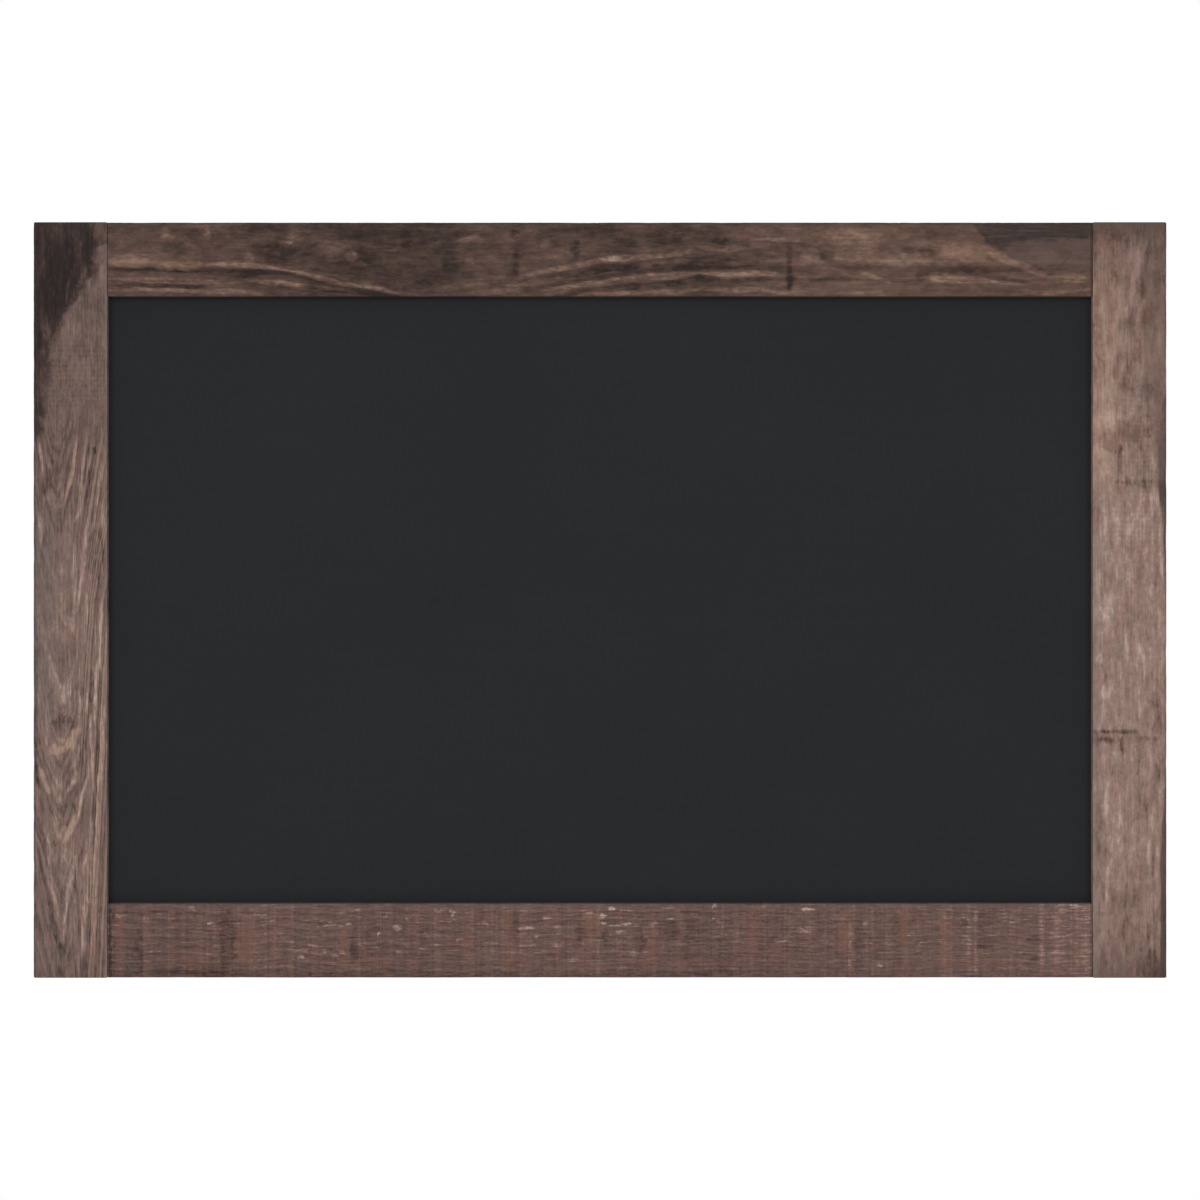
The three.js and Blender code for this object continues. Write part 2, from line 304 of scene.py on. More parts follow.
# Camera: square on to the middle of the front, at the photograph's framing
camera_distance = 2.2
frame_width_at_board = 0.9672
sensor_mm = 36.0
camera_data = bpy.data.cameras.new("camera")
camera_data.sensor_width = sensor_mm
camera_data.lens = sensor_mm * camera_distance / frame_width_at_board
camera = bpy.data.objects.new("camera", camera_data)
camera.location = board_centre - Vector((0, camera_distance, 0))
camera.rotation_euler = (math.pi / 2, 0, 0)
bpy.context.collection.objects.link(camera)
scene = bpy.context.scene
scene.camera = camera
scene.view_settings.view_transform = "Standard"


# Surroundings: white to the camera and to gloss, plain soft light on the board
def make_world(level):
    """White background that lights the board at a lower level."""
    world = bpy.data.worlds.new("studio")
    world.use_nodes = True
    scene.world = world
    tree = Tree(world.node_tree)
    tree.nodes.clear()
    rays = tree.node("ShaderNodeLightPath").socket.node.outputs
    seen = tree.largest(Term(tree, rays["Is Camera Ray"]), Term(tree, rays["Is Glossy Ray"]))
    seen = tree.largest(seen, Term(tree, rays["Is Transmission Ray"]))
    strength = seen * (1.0 - level) + level
    sockets = {"Color": (1.0, 1.0, 1.0, 1.0), "Strength": strength}
    background = tree.node("ShaderNodeBackground", None, sockets)
    tree.node("ShaderNodeOutputWorld", None, {"Surface": background})


def make_lamp(name, place, power, size):
    """Square lamp that faces the middle of the board."""
    lamp = bpy.data.lights.new(name, "AREA")
    lamp.energy = power
    lamp.size = size
    lamp_object = bpy.data.objects.new(name, lamp)
    lamp_object.location = place
    aim = board_centre - Vector(place)
    lamp_object.rotation_euler = aim.to_track_quat("-Z", "Y").to_euler()
    bpy.context.collection.objects.link(lamp_object)


def make_floor(height, radius, sides=48):
    """Pale disc that thins out to nothing at its rim."""
    mesh = bpy.data.meshes.new("floor")
    corners = [(radius * math.cos(turn), radius * math.sin(turn), height) for turn in full_turn(sides)]
    mesh.from_pydata(corners, [], [tuple(range(sides))])
    floor = bpy.data.objects.new("floor", mesh)
    bpy.context.collection.objects.link(floor)
    material, tree = new_material("pale floor")
    x, y, _ = tree.parts(tree.node("ShaderNodeTexCoord", None, None, out=3))
    fade_start, fade_end = 0.45 * radius, 0.98 * radius
    rim = tree.smooth(tree.root(x * x + y * y), fade_start, fade_end)
    sockets = {"Base Color": srgb(244, 244, 243), "Roughness": 0.9}
    pale = tree.node("ShaderNodeBsdfPrincipled", None, sockets)
    nothing = tree.node("ShaderNodeBsdfTransparent")
    surface = tree.node("ShaderNodeMixShader", None, {0: rim, 1: pale, 2: nothing})
    tree.node("ShaderNodeOutputMaterial", None, {"Surface": surface})
    mesh.materials.append(material)


make_world(level=0.5)
make_lamp("key lamp", (-1.1, -2.7, 0.55), power=29.0, size=1.8)
make_lamp("fill lamp", (1.3, -2.7, 0.15), power=19.0, size=2.0)
make_lamp("back lamp", (0.4, 2.4, 1.4), power=40.0, size=2.0)
make_floor(height=-1.9, radius=4.2)


# Materials
def finish_surface(tree, colour, roughness, height, relief_mm, metallic=0.0, specular=0.25):
    """Principled surface with its colour, roughness and relief."""
    bump = {"Height": height, "Distance": relief_mm * mm, "Strength": 1.0}
    sockets = {"Base Color": colour, "Roughness": roughness, "Metallic": metallic,
               "Specular IOR Level": specular, "Normal": tree.node("ShaderNodeBump", None, bump)}
    shader = tree.node("ShaderNodeBsdfPrincipled", None, sockets)
    tree.node("ShaderNodeOutputMaterial", None, {"Surface": shader})


def object_mm(tree):
    """Object coordinates in millimetres, as three terms."""
    place = tree.node("ShaderNodeTexCoord", None, None, out=3)
    return [part * 1000.0 for part in tree.parts(place)]


def mark_group(name, inputs):
    """Empty node group with number inputs and one tone output; gives its tree and its inputs."""
    group = bpy.data.node_groups.new(name, "ShaderNodeTree")
    for label in inputs:
        group.interface.new_socket(name=label, in_out="INPUT", socket_type="NodeSocketFloat")
    group.interface.new_socket(name="Tone", in_out="OUTPUT", socket_type="NodeSocketFloat")
    tree = Tree(group)
    outputs = tree.nodes.new("NodeGroupInput").outputs
    return group, tree, {label: Term(tree, outputs[label]) for label in inputs}


# A mark is full inside its core and gone past its rim, both as squared shares of its radii
mark_rim = 1.7
mark_core = 0.1


def make_spot_group():
    """Oval mark, 1 in its middle and 0 outside, times its strength, on top of the tone before."""
    inputs = ["Run", "Side", "Centre run", "Centre side", "Run radius", "Side radius", "Strength",
              "Before"]
    group, tree, given = mark_group("oval mark", inputs)
    along = (given["Run"] - given["Centre run"]) / given["Run radius"]
    across = (given["Side"] - given["Centre side"]) / given["Side radius"]
    mask = tree.smooth(tree.scaled(along, along, across * across), mark_rim, mark_core)
    tree.node("NodeGroupOutput", None, {"Tone": tree.scaled(mask, given["Strength"], given["Before"])})
    return group


def make_vein_group():
    """Curved line, 1 on its middle and 0 outside, times its strength, on top of the tone before."""
    inputs = ["Run", "Side", "Centre", "Half length", "Base", "Slope", "Bulge", "Half width", "Strength",
              "Before"]
    group, tree, given = mark_group("vein", inputs)
    t = (given["Run"] - given["Centre"]) / given["Half length"]
    line = tree.scaled(tree.scaled(t, given["Bulge"], given["Slope"]), t, given["Base"])
    away = (given["Side"] - line) / given["Half width"]
    square = t * t
    mask = tree.smooth(tree.scaled(away, away, square * square), mark_rim, mark_core)
    tree.node("NodeGroupOutput", None, {"Tone": tree.scaled(mask, given["Strength"], given["Before"])})
    return group


spot_group = make_spot_group()
vein_group = make_vein_group()
outer_edges = {"left_stile": left_edge, "right_stile": right_edge, "top_rail": top_edge,
               "bottom_rail": bottom_edge}


class Board:
    """Pattern coordinates and figure of one frame member.

    Places in the wood are given in pixels of the photograph, 1200 to its side, so that each mark can be
    checked against it. run goes along the grain, side across it, and deep from the front face back.
    """

    def __init__(self, name, tree, seed):
        self.tree = tree
        self.seed = seed
        place = tree.node("ShaderNodeTexCoord", None, None, out=3)
        x, y, z = tree.parts(place)
        picture_x = x / pixel + picture_middle[0]
        picture_y = picture_middle[1] - (z - board_centre.z) / pixel
        self.deep = (y - front_face) / pixel
        self.run, self.side = picture_x, picture_y
        if name.endswith("stile"):
            self.run, self.side = picture_y, picture_x
        # 1 on the front face, and 0 lower down the sides
        self.front = tree.smooth(self.deep, 7.0, 2.5)
        # Places that waver, so that no mark keeps a regular outline
        self.vein_side = self.side + self.noise(50.0, 12.0, 60.0) * 9.0
        self.spot_side = self.vein_side + self.noise(10.0, 6.0, 65.0) * 7.0
        self.spot_run = self.run + self.noise(11.0, 7.0, 70.0) * 18.0
        # How much of a mark is left from place to place
        self.rubbed = 1.0 + self.noise(8.0, 3.5, 80.0) * 2.6
        # How near the outer arris, from 0 to 1
        if name in ("left_stile", "top_rail"):
            way_in = self.side - outer_edges[name]
        else:
            way_in = outer_edges[name] - self.side
        self.edge = tree.smooth(way_in, 4.6, 1.0)

    def noise(self, long, wide, shift, detail=2.0, roughness=0.5):
        """Noise about zero, whose patches are about long along the grain and wide across it."""
        at = self.tree.vector(self.run / long + (self.seed + shift), self.side / wide, self.deep / wide)
        return self.tree.noise(at, detail, roughness) - 0.5

    def add_spot(self, before, run, side, run_radius, side_radius, strength):
        """Adds an oval mark to the tone before it."""
        sockets = {"Run": self.spot_run, "Side": self.spot_side, "Centre run": run, "Centre side": side,
                   "Run radius": run_radius, "Side radius": side_radius, "Strength": strength,
                   "Before": before}
        return self.tree.node("ShaderNodeGroup", {"node_tree": spot_group}, sockets)

    def add_vein(self, before, start, middle, end, half_width, strength):
        """Adds a curved line through three (run, side) points, which thins out at its ends."""
        half = (end[0] - start[0]) / 2
        centre = (start[0] + end[0]) / 2
        slope = (end[1] - start[1]) / 2
        knee = (middle[0] - centre) / half
        bulge = (middle[1] - (start[1] + end[1]) / 2 - knee * slope) / (1 - knee * knee)
        sockets = {"Run": self.run, "Side": self.vein_side, "Centre": centre, "Half length": half,
                   "Base": (start[1] + end[1]) / 2 + bulge, "Slope": slope, "Bulge": -bulge,
                   "Half width": half_width, "Strength": strength, "Before": before}
        return self.tree.node("ShaderNodeGroup", {"node_tree": vein_group}, sockets)

    def add_cuts(self, tone, cuts):
        """Tone with straight marks across the grain: run, side from and to, half width, strength."""
        tree = self.tree
        wander = self.noise(3.0, 14.0, 75.0) * 5.0
        for run, low, high, half, strength in cuts:
            line = tree.smooth(abs(self.run + wander - run), half * 1.6, half * 0.3)
            middle, reach = (low + high) / 2, (high - low) / 2
            inside = tree.smooth(abs(self.spot_side - middle), reach + 3.0, reach - 4.0)
            tone = tree.scaled(line * inside * self.front, self.rubbed * strength, tone)
        return tone

    def add_marks(self, tone, spots, veins=()):
        """Tone with its spots (run, side, radii, strength) and veins (three points, width, strength)."""
        total = 0.0
        for spot in spots:
            total = self.add_spot(total, *spot)
        for vein in veins:
            total = self.add_vein(total, *vein)
        return self.tree.scaled(total * self.rubbed, self.front, tone)

    def finish(self, colour, grain, arris, relief=0.3):
        """Tints, dark stain with painted shade along the outer arrises, sides darkened partly by stain and
        partly by painted shade, and the surface itself.
        """
        tree = self.tree
        hue = self.noise(26.0, 9.0, 90.0, 3.0, 0.6)
        tints = [(0.28, (0.93, 1.0, 0.96, 1.0)), (0.5, (1.0, 1.0, 1.0, 1.0)), (0.72, (1.0, 0.90, 0.90, 1.0))]
        colour = tree.mix(colour, tree.ramp(hue + 0.5, tints), 1.0, "MULTIPLY")
        arris_stain_and_shade = 0.7 + self.noise(30.0, 5.0, 95.0) * 2.4
        # Darker sides: partly a darker stain, partly painted shade on the rebate walls and outer sides
        on_side = tree.smooth(self.deep, 0.6, 2.6)
        colour = tree.mix(colour, srgb(44, 34, 31), on_side * 0.22)
        # Dark stain with painted shade along the rounded outer arris, in patches
        colour = tree.mix(colour, srgb(40, 30, 28), self.edge * arris_stain_and_shade * arris)
        # Fibres and open pores too fine for the photograph
        fibre = self.noise(7.0, 0.42, 85.0, 3.0, 0.65)
        colour = tree.mix(colour, srgb(38, 28, 25), tree.smooth(fibre, 0.06, 0.26) * 0.5)
        colour = tree.mix(colour, srgb(186, 164, 148), tree.smooth(fibre, -0.06, -0.26) * 0.12)
        finish_surface(tree, colour, 0.86 - 0.3 * grain, grain - fibre * 0.35, relief)


def start_wood(name, seed):
    """Material of a frame member, its tree and its pattern."""
    material, tree = new_material(name.replace("_", " ") + " wood")
    return material, tree, Board(name, tree, seed)


# Marks of each member, placed against the photograph, in its pixels
# A spot: run, side, radius along, radius across, and strength, which is above 0 in a light mark
# A vein: its start, middle and end as (run, side), half width, strength
# A cut: run, side from and to, half width, strength
left_spots = [
    (885, 80, 70, 15, 0.14), (860, 63, 60, 9, 0.08), (715, 98, 26, 10, 0.1), (256, 102, 11, 5, 0.16),
    (272, 103, 9, 4, 0.18), (497, 50, 6, 5, 0.22), (505, 57, 4, 6, 0.22), (622, 70, 5, 6, 0.16),
    (631, 51, 8, 6, 0.12), (376, 80, 5, 16, 0.08), (330, 70, 18, 7, 0.08), (705, 62, 12, 6, 0.10),
    (784, 56, 9, 5, 0.20), (799, 61, 4, 4, 0.20), (852, 65, 10, 4, 0.16), (858, 87, 6, 1.6, 0.35),
    (898, 87, 8, 1.5, 0.30), (675, 53, 16, 4, 0.12), (290, 97, 10, 5, 0.08),
    (448, 94, 3.2, 2.0, -0.3), (640, 40, 130, 14, -0.12), (552, 98, 26, 10, -0.2), (470, 57, 22, 11, -0.10),
    (560, 52, 8, 12, -0.10), (722, 59, 5, 9, -0.3), (723, 72, 5, 6, -0.3), (716, 64, 3, 6, -0.2),
    (693, 83, 4, 2, -0.2), (655, 70, 12, 8, -0.08), (737, 80, 7, 3, -0.25), (765, 62, 12, 8, -0.12),
    (790, 72, 8, 5, -0.2), (805, 66, 9, 9, -0.18), (822, 66, 5, 6, -0.2), (880, 62, 20, 4, -0.14),
    (946, 62, 5, 3, -0.15), (907, 99, 5, 7, -0.12), (430, 70, 14, 8, -0.08), (843, 56, 3, 5, -0.2),
]
left_veins = [
    ((443, 40), (462, 42), (483, 45), 1.8, 0.43), ((450, 84), (488, 82.5), (522, 75), 1.8, 0.36),
    ((446, 104), (490, 99), (535, 90), 2, 0.34), ((512, 40.5), (530, 40.5), (549, 40), 2, 0.50),
    ((500, 104.5), (525, 104), (552, 106), 2.4, 0.29), ((526, 89), (572, 83), (614, 76.5), 2, 0.36),
    ((530, 71), (545, 69), (560, 67), 1.6, 0.18), ((608, 61), (618, 63), (626, 66), 1.8, 0.18),
    ((690, 79), (700, 79.5), (718, 79), 1.4, 0.36), ((655, 99), (680, 96.5), (722, 94), 2, 0.43),
    ((600, 102), (640, 101), (674, 101), 1.8, 0.38), ((714, 90), (735, 91), (757, 94), 1.6, 0.43),
    ((718, 101), (755, 102), (790, 99), 1.6, 0.36), ((688, 87), (700, 87), (712, 86), 1.4, 0.30),
    ((760, 94), (782, 95), (803, 96), 1.5, 0.31), ((800, 98), (830, 97), (864, 95), 1.8, 0.31),
    ((592, 88), (612, 89), (625, 88), 1.6, 0.24), ((768, 76), (780, 73.5), (793, 68), 2, 0.36),
    ((775, 88), (800, 81), (816, 78), 2.2, 0.41), ((832, 47.5), (860, 50.5), (902, 56), 2.2, 0.31),
    ((898, 66.5), (925, 65.5), (942, 63), 2, 0.29), ((856, 75), (880, 70), (906, 67.5), 2.4, 0.29),
    ((812, 92), (840, 92), (870, 93), 1.6, 0.22), ((905, 84), (930, 84), (950, 83), 1.6, 0.22),
    ((900, 94), (925, 94), (945, 92), 1.6, 0.19), ((700, 46), (720, 49), (745, 47), 1.8, 0.22),
    ((446, 88), (465, 88), (483, 88), 1.5, -0.08), ((525, 45), (536, 45), (548, 45), 1.8, -0.26),
    ((668, 93), (690, 92), (714, 90), 1.8, -0.30), ((738, 84), (762, 83), (792, 81), 2.0, -0.30),
    ((764, 36), (776, 38), (788, 41), 2.4, -0.32), ((846, 38), (900, 50), (950, 61.5), 2.5, -0.34),
    ((838, 85), (900, 71.5), (950, 63.5), 2.2, -0.24), ((705, 86), (740, 84), (760, 84), 1.6, -0.16),
    ((560, 99), (600, 98), (640, 98), 1.5, -0.15), ((800, 84), (850, 83), (880, 82), 1.6, -0.16),
    ((620, 36), (700, 37), (780, 36), 2.0, -0.22),
]
left_tan_spots = [
    (734, 77, 8, 4, 0.30), (742, 68, 7, 7, 0.34), (750, 58, 7, 6, 0.34), (833, 66, 8, 6, 0.28),
    (490, 62, 9, 4, 0.16),
]
left_tan_veins = [
    ((438, 78), (472, 73), (503, 65), 2.0, 0.42), ((728, 80), (741, 72), (754, 56), 4.0, 0.16),
    ((766, 41), (776, 44), (792, 49), 2.0, 0.4), ((812, 77), (827, 72), (842, 63), 3.4, 0.44),
    ((812, 53), (824, 56), (838, 60), 2.6, 0.26), ((655, 52), (672, 56), (692, 61), 2.2, 0.12),
]
left_stain_spots = [
    (288, 62, 44, 18, -0.34), (262, 84, 14, 7, -0.2), (232, 102, 14, 8, 0.5), (328, 46, 12, 5, 0.35),
    (272, 84, 12, 3, 0.35), (250, 80, 16, 2.5, 0.22), (232, 60, 12, 22, 0.12), (340, 41, 12, 3, -0.2),
    (380, 44, 14, 3, 0.15), (245, 44, 24, 5, 0.12),
]
left_stain_veins = [
    ((278, 69), (292, 67.5), (306, 67), 1.6, 0.35), ((228, 92), (250, 89), (276, 90), 3.0, -0.2),
]


def left_stile_wood():
    material, tree, wood = start_wood("left_stile", 3.1)
    run, side = wood.run, wood.side
    grain = wood.noise(42.0, 1.7, 2.0, 3.0, 0.6)
    dashes = wood.noise(12.0, 1.3, 5.0)
    blotch = wood.noise(20.0, 9.0, 9.0, 3.0, 0.6)
    cloud = wood.noise(75.0, 30.0, 12.0)
    # Nested arches of the flat-sawn board, opening upwards
    axis = tree.curve(run, [(440, 58.5), (510, 58), (620, 65), (760, 61), (860, 63), (980, 62)])
    sharp = tree.curve(run, [(440, 8), (510, 9), (600, 15), (650, 15), (780, 6), (900, 3), (980, 3)])
    steep = tree.curve(run, [(440, 6), (620, 6), (760, 3.6), (980, 4.3)])
    across = side - axis + wood.noise(60.0, 14.0, 20.0) * 7.0
    arch = run + steep * (tree.root(across * across + sharp * sharp) - sharp) + wood.deep * 2.0
    beside = tree.smooth(side, 72.0, 86.0)
    slant = tree.curve(run, [(221, 0), (440, 20), (600, 200), (720, 250), (980, 330)])
    upright = side * 6.6 + slant + wood.noise(90.0, 10.0, 22.0) * 22.0
    arch = arch + (upright - arch) * beside + wood.noise(18.0, 5.0, 24.0) * 13.0
    rings = tree.wave_noise(arch / 34.0 + 7.0, 2.0, 0.6) - 0.5
    fine_rings = tree.wave_noise(arch / 12.0 + 4.0, 2.0, 0.6) - 0.5
    plain_sawn = tree.curve(run, [(420, 0.12), (455, 0.7), (505, 0.7), (535, 0.35), (640, 0.4),
                                  (715, 0.85), (820, 0.75), (880, 0.6), (980, 0.55)])
    by_edge = tree.smooth(side, 76.0, 86.0) * tree.smooth(run, 425.0, 460.0)
    edge_clarity = tree.curve(run, [(430, 0.9), (640, 1.25), (760, 1.5), (900, 1.0), (980, 0.7)])
    clarity = tree.largest(plain_sawn, by_edge * edge_clarity)
    base = tree.curve(run, [(221, 0.33), (300, 0.36), (345, 0.42), (440, 0.43), (500, 0.44), (580, 0.60),
                            (650, 0.60), (720, 0.58), (800, 0.54), (880, 0.53), (950, 0.47), (978, 0.36)])
    speckle = wood.noise(5.0, 3.0, 16.0)
    tone = base + rings * clarity * 0.95 + fine_rings * clarity * 0.85 + grain * 0.5 + dashes * 0.45
    tone = tone + blotch * 0.65 + cloud * 0.3 + speckle * 0.35
    sawn = tree.sine(run * 1.25 + blotch * 9.0)
    sawn = sawn * tree.smooth(run, 335.0, 350.0) * tree.smooth(run, 425.0, 395.0)
    tone = tone + sawn * 0.028
    pale = tree.smooth(wood.noise(36.0, 1.7, 40.0), 0.06, 0.2) * tree.smooth(run, 432.0, 470.0)
    tone = tone + pale * tree.smooth(side, 50.0, 84.0, 0.14, 0.34)
    clouds = tree.smooth(wood.noise(13.0, 6.0, 44.0, 3.0, 0.6), 0.02, 0.2)
    clouds = clouds * tree.smooth(run, 545.0, 590.0) * tree.smooth(run, 735.0, 700.0)
    tone = tone + clouds * tree.smooth(side, 92.0, 74.0) * 0.22
    tone = wood.add_marks(tone, left_spots + left_tan_spots, left_veins + left_tan_veins)
    warm = wood.add_marks(by_edge * tree.smooth(rings, 0.02, 0.2) * 0.6, left_tan_spots, left_tan_veins)
    warm = warm * (0.9 + fine_rings * 1.8 + grain * 1.5)
    stops = [(-0.2, srgb(43, 33, 31)), (0.0, srgb(56, 45, 42)), (0.25, srgb(89, 72, 66)),
             (0.5, srgb(114, 93, 86)), (0.75, srgb(132, 109, 100)), (1.0, srgb(158, 133, 121)),
             (1.35, srgb(184, 160, 147))]
    colour = tree.ramp(tone, stops)
    colour = tree.mix(colour, srgb(152, 120, 99), tree.smallest(warm, 0.55))
    cool = tree.smooth(side, 66.0, 44.0) * tree.smooth(run, 480.0, 530.0) * tree.smooth(run, 760.0, 700.0)
    colour = tree.mix(colour, srgb(112, 102, 99), cool * wood.front * 0.3)
    # Painted highlight: a lighter lilac-grey line along the inner front arris
    lilac = tree.smooth(side, 104.5, 107.0) * tree.smooth(wood.deep, 2.0, 0.5)
    colour = tree.mix(colour, srgb(118, 107, 107), lilac * 0.5)
    # Old stain across the top corner
    limit = tree.curve(run, [(221, 114), (242, 114), (247, 97), (274, 96), (278, 92), (281, 85),
                             (290, 80), (300, 76), (307, 69), (318, 64), (330, 60), (340, 55),
                             (346, 52.5), (362, 51.5), (376, 50), (385, 47.5), (400, 46), (415, 44),
                             (432, 42), (440, 38), (446, 31)])
    ragged = wood.noise(11.0, 9.0, 30.0, 3.0, 0.65) * 22.0
    stain = tree.smooth(limit + ragged - side, -6.5, 6.5) * tree.smooth(wood.deep, 22.0, 8.0, 0.3, 1.0)
    stain_tone = 0.38 + grain * 0.7 + blotch * 1.3 + dashes * 0.3 + cloud * 1.2 + speckle * 0.4
    stain_tone = wood.add_marks(stain_tone, left_stain_spots, left_stain_veins)
    stain_stops = [(0.0, srgb(34, 25, 24)), (0.5, srgb(56, 43, 40)), (1.0, srgb(92, 72, 64))]
    colour = tree.mix(colour, tree.ramp(stain_tone, stain_stops), stain)
    wood.finish(colour, grain, arris=0.5)
    return material


right_spots = [
    (400, 1104, 37.4, 9.9, 0.16), (455, 1107, 33, 9.9, 0.18), (660, 1097, 6.6, 2.8, 0.20),
    (905, 1102, 6.6, 3.3, 0.24), (920, 1133, 5.5, 3.3, 0.16), (520, 1130, 15.4, 8.8, 0.10),
    (800, 1106, 15.4, 3.3, 0.16), (822, 1116, 8.8, 4.4, 0.16), (845, 1128, 30, 18, 0.12),
    (875, 1114, 40, 10, 0.14), (570, 1097, 33, 4.4, 0.06), (345, 1113, 15.4, 5.5, 0.10),
    (262, 1133, 22, 7.7, 0.13), (300, 1115, 22, 7.7, 0.08), (720, 1096, 8.8, 4.4, 0.12),
    (288, 1139, 7.9, 5.3, -0.2), (278, 1155, 11.9, 7.9, -0.22), (252, 1155, 7.9, 5.3, -0.18),
    (316, 1146, 10.7, 6.7, -0.18), (318, 1132, 9.2, 4, -0.10), (283, 1126, 6.7, 4.6, -0.13),
    (325, 1125, 6.1, 4, -0.15), (236, 1115, 4.6, 7.9, -0.15), (329, 1157, 4, 4, -0.13),
    (355, 1120, 6.1, 4.6, -0.13), (373, 1098, 6.7, 4, -0.11), (324, 1098, 5.3, 6.7, -0.10),
    (388, 1138, 11.9, 17.2, -0.15), (394, 1148, 7.9, 9.2, -0.13), (424, 1122, 7.9, 7.9, -0.23),
    (428, 1129, 5.3, 6.7, -0.13), (432, 1147, 7.9, 7.9, -0.18), (437, 1105, 6.7, 5.3, -0.13),
    (450, 1118, 4, 2.6, -0.15), (450, 1137, 29.3, 22.6, -0.11), (482, 1129, 3.2, 16, -0.12),
    (484, 1146, 7.9, 10.7, -0.16), (572, 1154, 11.9, 4.6, -0.18), (615, 1128, 16, 7.9, -0.08),
    (622, 1145, 21.2, 9.2, -0.11), (660, 1109, 18.6, 10.7, -0.06), (731, 1112, 3.5, 26.6, -0.16),
    (740, 1108, 4, 11.9, -0.22), (737, 1096, 7.9, 5.3, -0.23), (740, 1143, 3.2, 9.2, -0.16),
    (748, 1121, 9.2, 3.3, -0.18), (832, 1100, 20.0, 9.2, -0.13), (800, 1127, 7.9, 4.6, -0.10),
    (893, 1111, 9.2, 4, -0.10), (905, 1115, 10.7, 7.9, -0.08), (895, 1132, 11.9, 5.3, -0.10),
    (955, 1108, 15.0, 7.9, -0.04), (966, 1152, 16, 15, -0.24), (706, 1117, 10.7, 4, -0.10),
    (712, 1108, 7.9, 5.3, -0.10), (585, 1110, 6.7, 10.7, -0.07), (430, 1160, 79.8, 5.3, -0.07),
    (770, 1155, 16, 6.7, -0.14), (720, 1155, 30, 7, -0.12), (482, 1150, 12, 18, -0.2),
]
right_veins = [
    ((400, 1157), (465, 1153), (502, 1154), 2.2, 0.22), ((522, 1157), (550, 1160), (585, 1161), 1.8, 0.17),
    ((590, 1108), (600, 1109), (612, 1109), 1.8, 0.16), ((636, 1124), (652, 1126), (668, 1124), 2, 0.14),
    ((645, 1140), (656, 1142), (668, 1142), 1.8, 0.16), ((625, 1132), (645, 1137), (670, 1138), 1.6, 0.11),
    ((696, 1137), (715, 1138), (735, 1139), 1.6, 0.16), ((700, 1148), (725, 1149), (750, 1149), 1.8, 0.17),
    ((700, 1124), (720, 1125), (738, 1127), 1.8, 0.11), ((775, 1105), (800, 1106), (828, 1105), 2.2, 0.20),
    ((862, 1106), (885, 1106), (908, 1106), 2.4, 0.22), ((838, 1148), (855, 1147), (870, 1147), 1.7, 0.20),
    ((795, 1154), (828, 1156), (852, 1156), 1.7, 0.17), ((860, 1153), (870, 1154), (880, 1154), 1.7, 0.18),
    ((890, 1151), (902, 1150), (914, 1149), 1.7, 0.17), ((900, 1144), (925, 1143), (940, 1144), 1.5, 0.14),
    ((935, 1150), (950, 1151), (968, 1150), 1.7, 0.16), ((820, 1133), (835, 1132), (850, 1133), 1.8, 0.13),
    ((925, 1106), (932, 1102), (956, 1095), 3.4, 0.20), ((860, 1136), (875, 1136), (890, 1135), 1.6, 0.14),
    ((230, 1146), (240, 1143), (272, 1140), 3, 0.09), ((350, 1108), (362, 1107), (375, 1107), 2, 0.11),
    ((238, 1149), (262, 1144), (292, 1141), 3.0, -0.22), ((440, 1119), (480, 1118), (498, 1117), 2.0, -0.1),
    ((300, 1129), (320, 1129), (345, 1130), 1.6, -0.18),
    ((562, 1104), (572, 1103), (585, 1104), 1.6, -0.18), ((735, 1121), (745, 1121), (756, 1122), 1.8, -0.3),
    ((660, 1139), (680, 1141), (700, 1138), 1.6, -0.18),
    ((920, 1146), (940, 1147), (958, 1147), 1.6, -0.25), ((880, 1126), (900, 1124), (925, 1128), 1.8, -0.2),
]
right_red_spots = [
    (316, 1146, 14, 8, 0.5), (288, 1139, 10, 6, 0.3), (437, 1122, 7, 16, 0.4), (446, 1107, 6, 6, 0.5),
    (428, 1129, 8, 10, 0.3), (737, 1096, 8, 6, 0.3),
]
right_cuts = [
    (731, 1088, 1134, 1.8, -0.36), (739, 1088, 1112, 2.0, -0.3), (738, 1132, 1160, 1.8, -0.2),
    (482, 1116, 1160, 2.4, -0.13), (660, 1092, 1106, 1.4, 0.12), (388, 1122, 1152, 4.0, -0.14),
    (437, 1118, 1136, 4.0, -0.14),
]


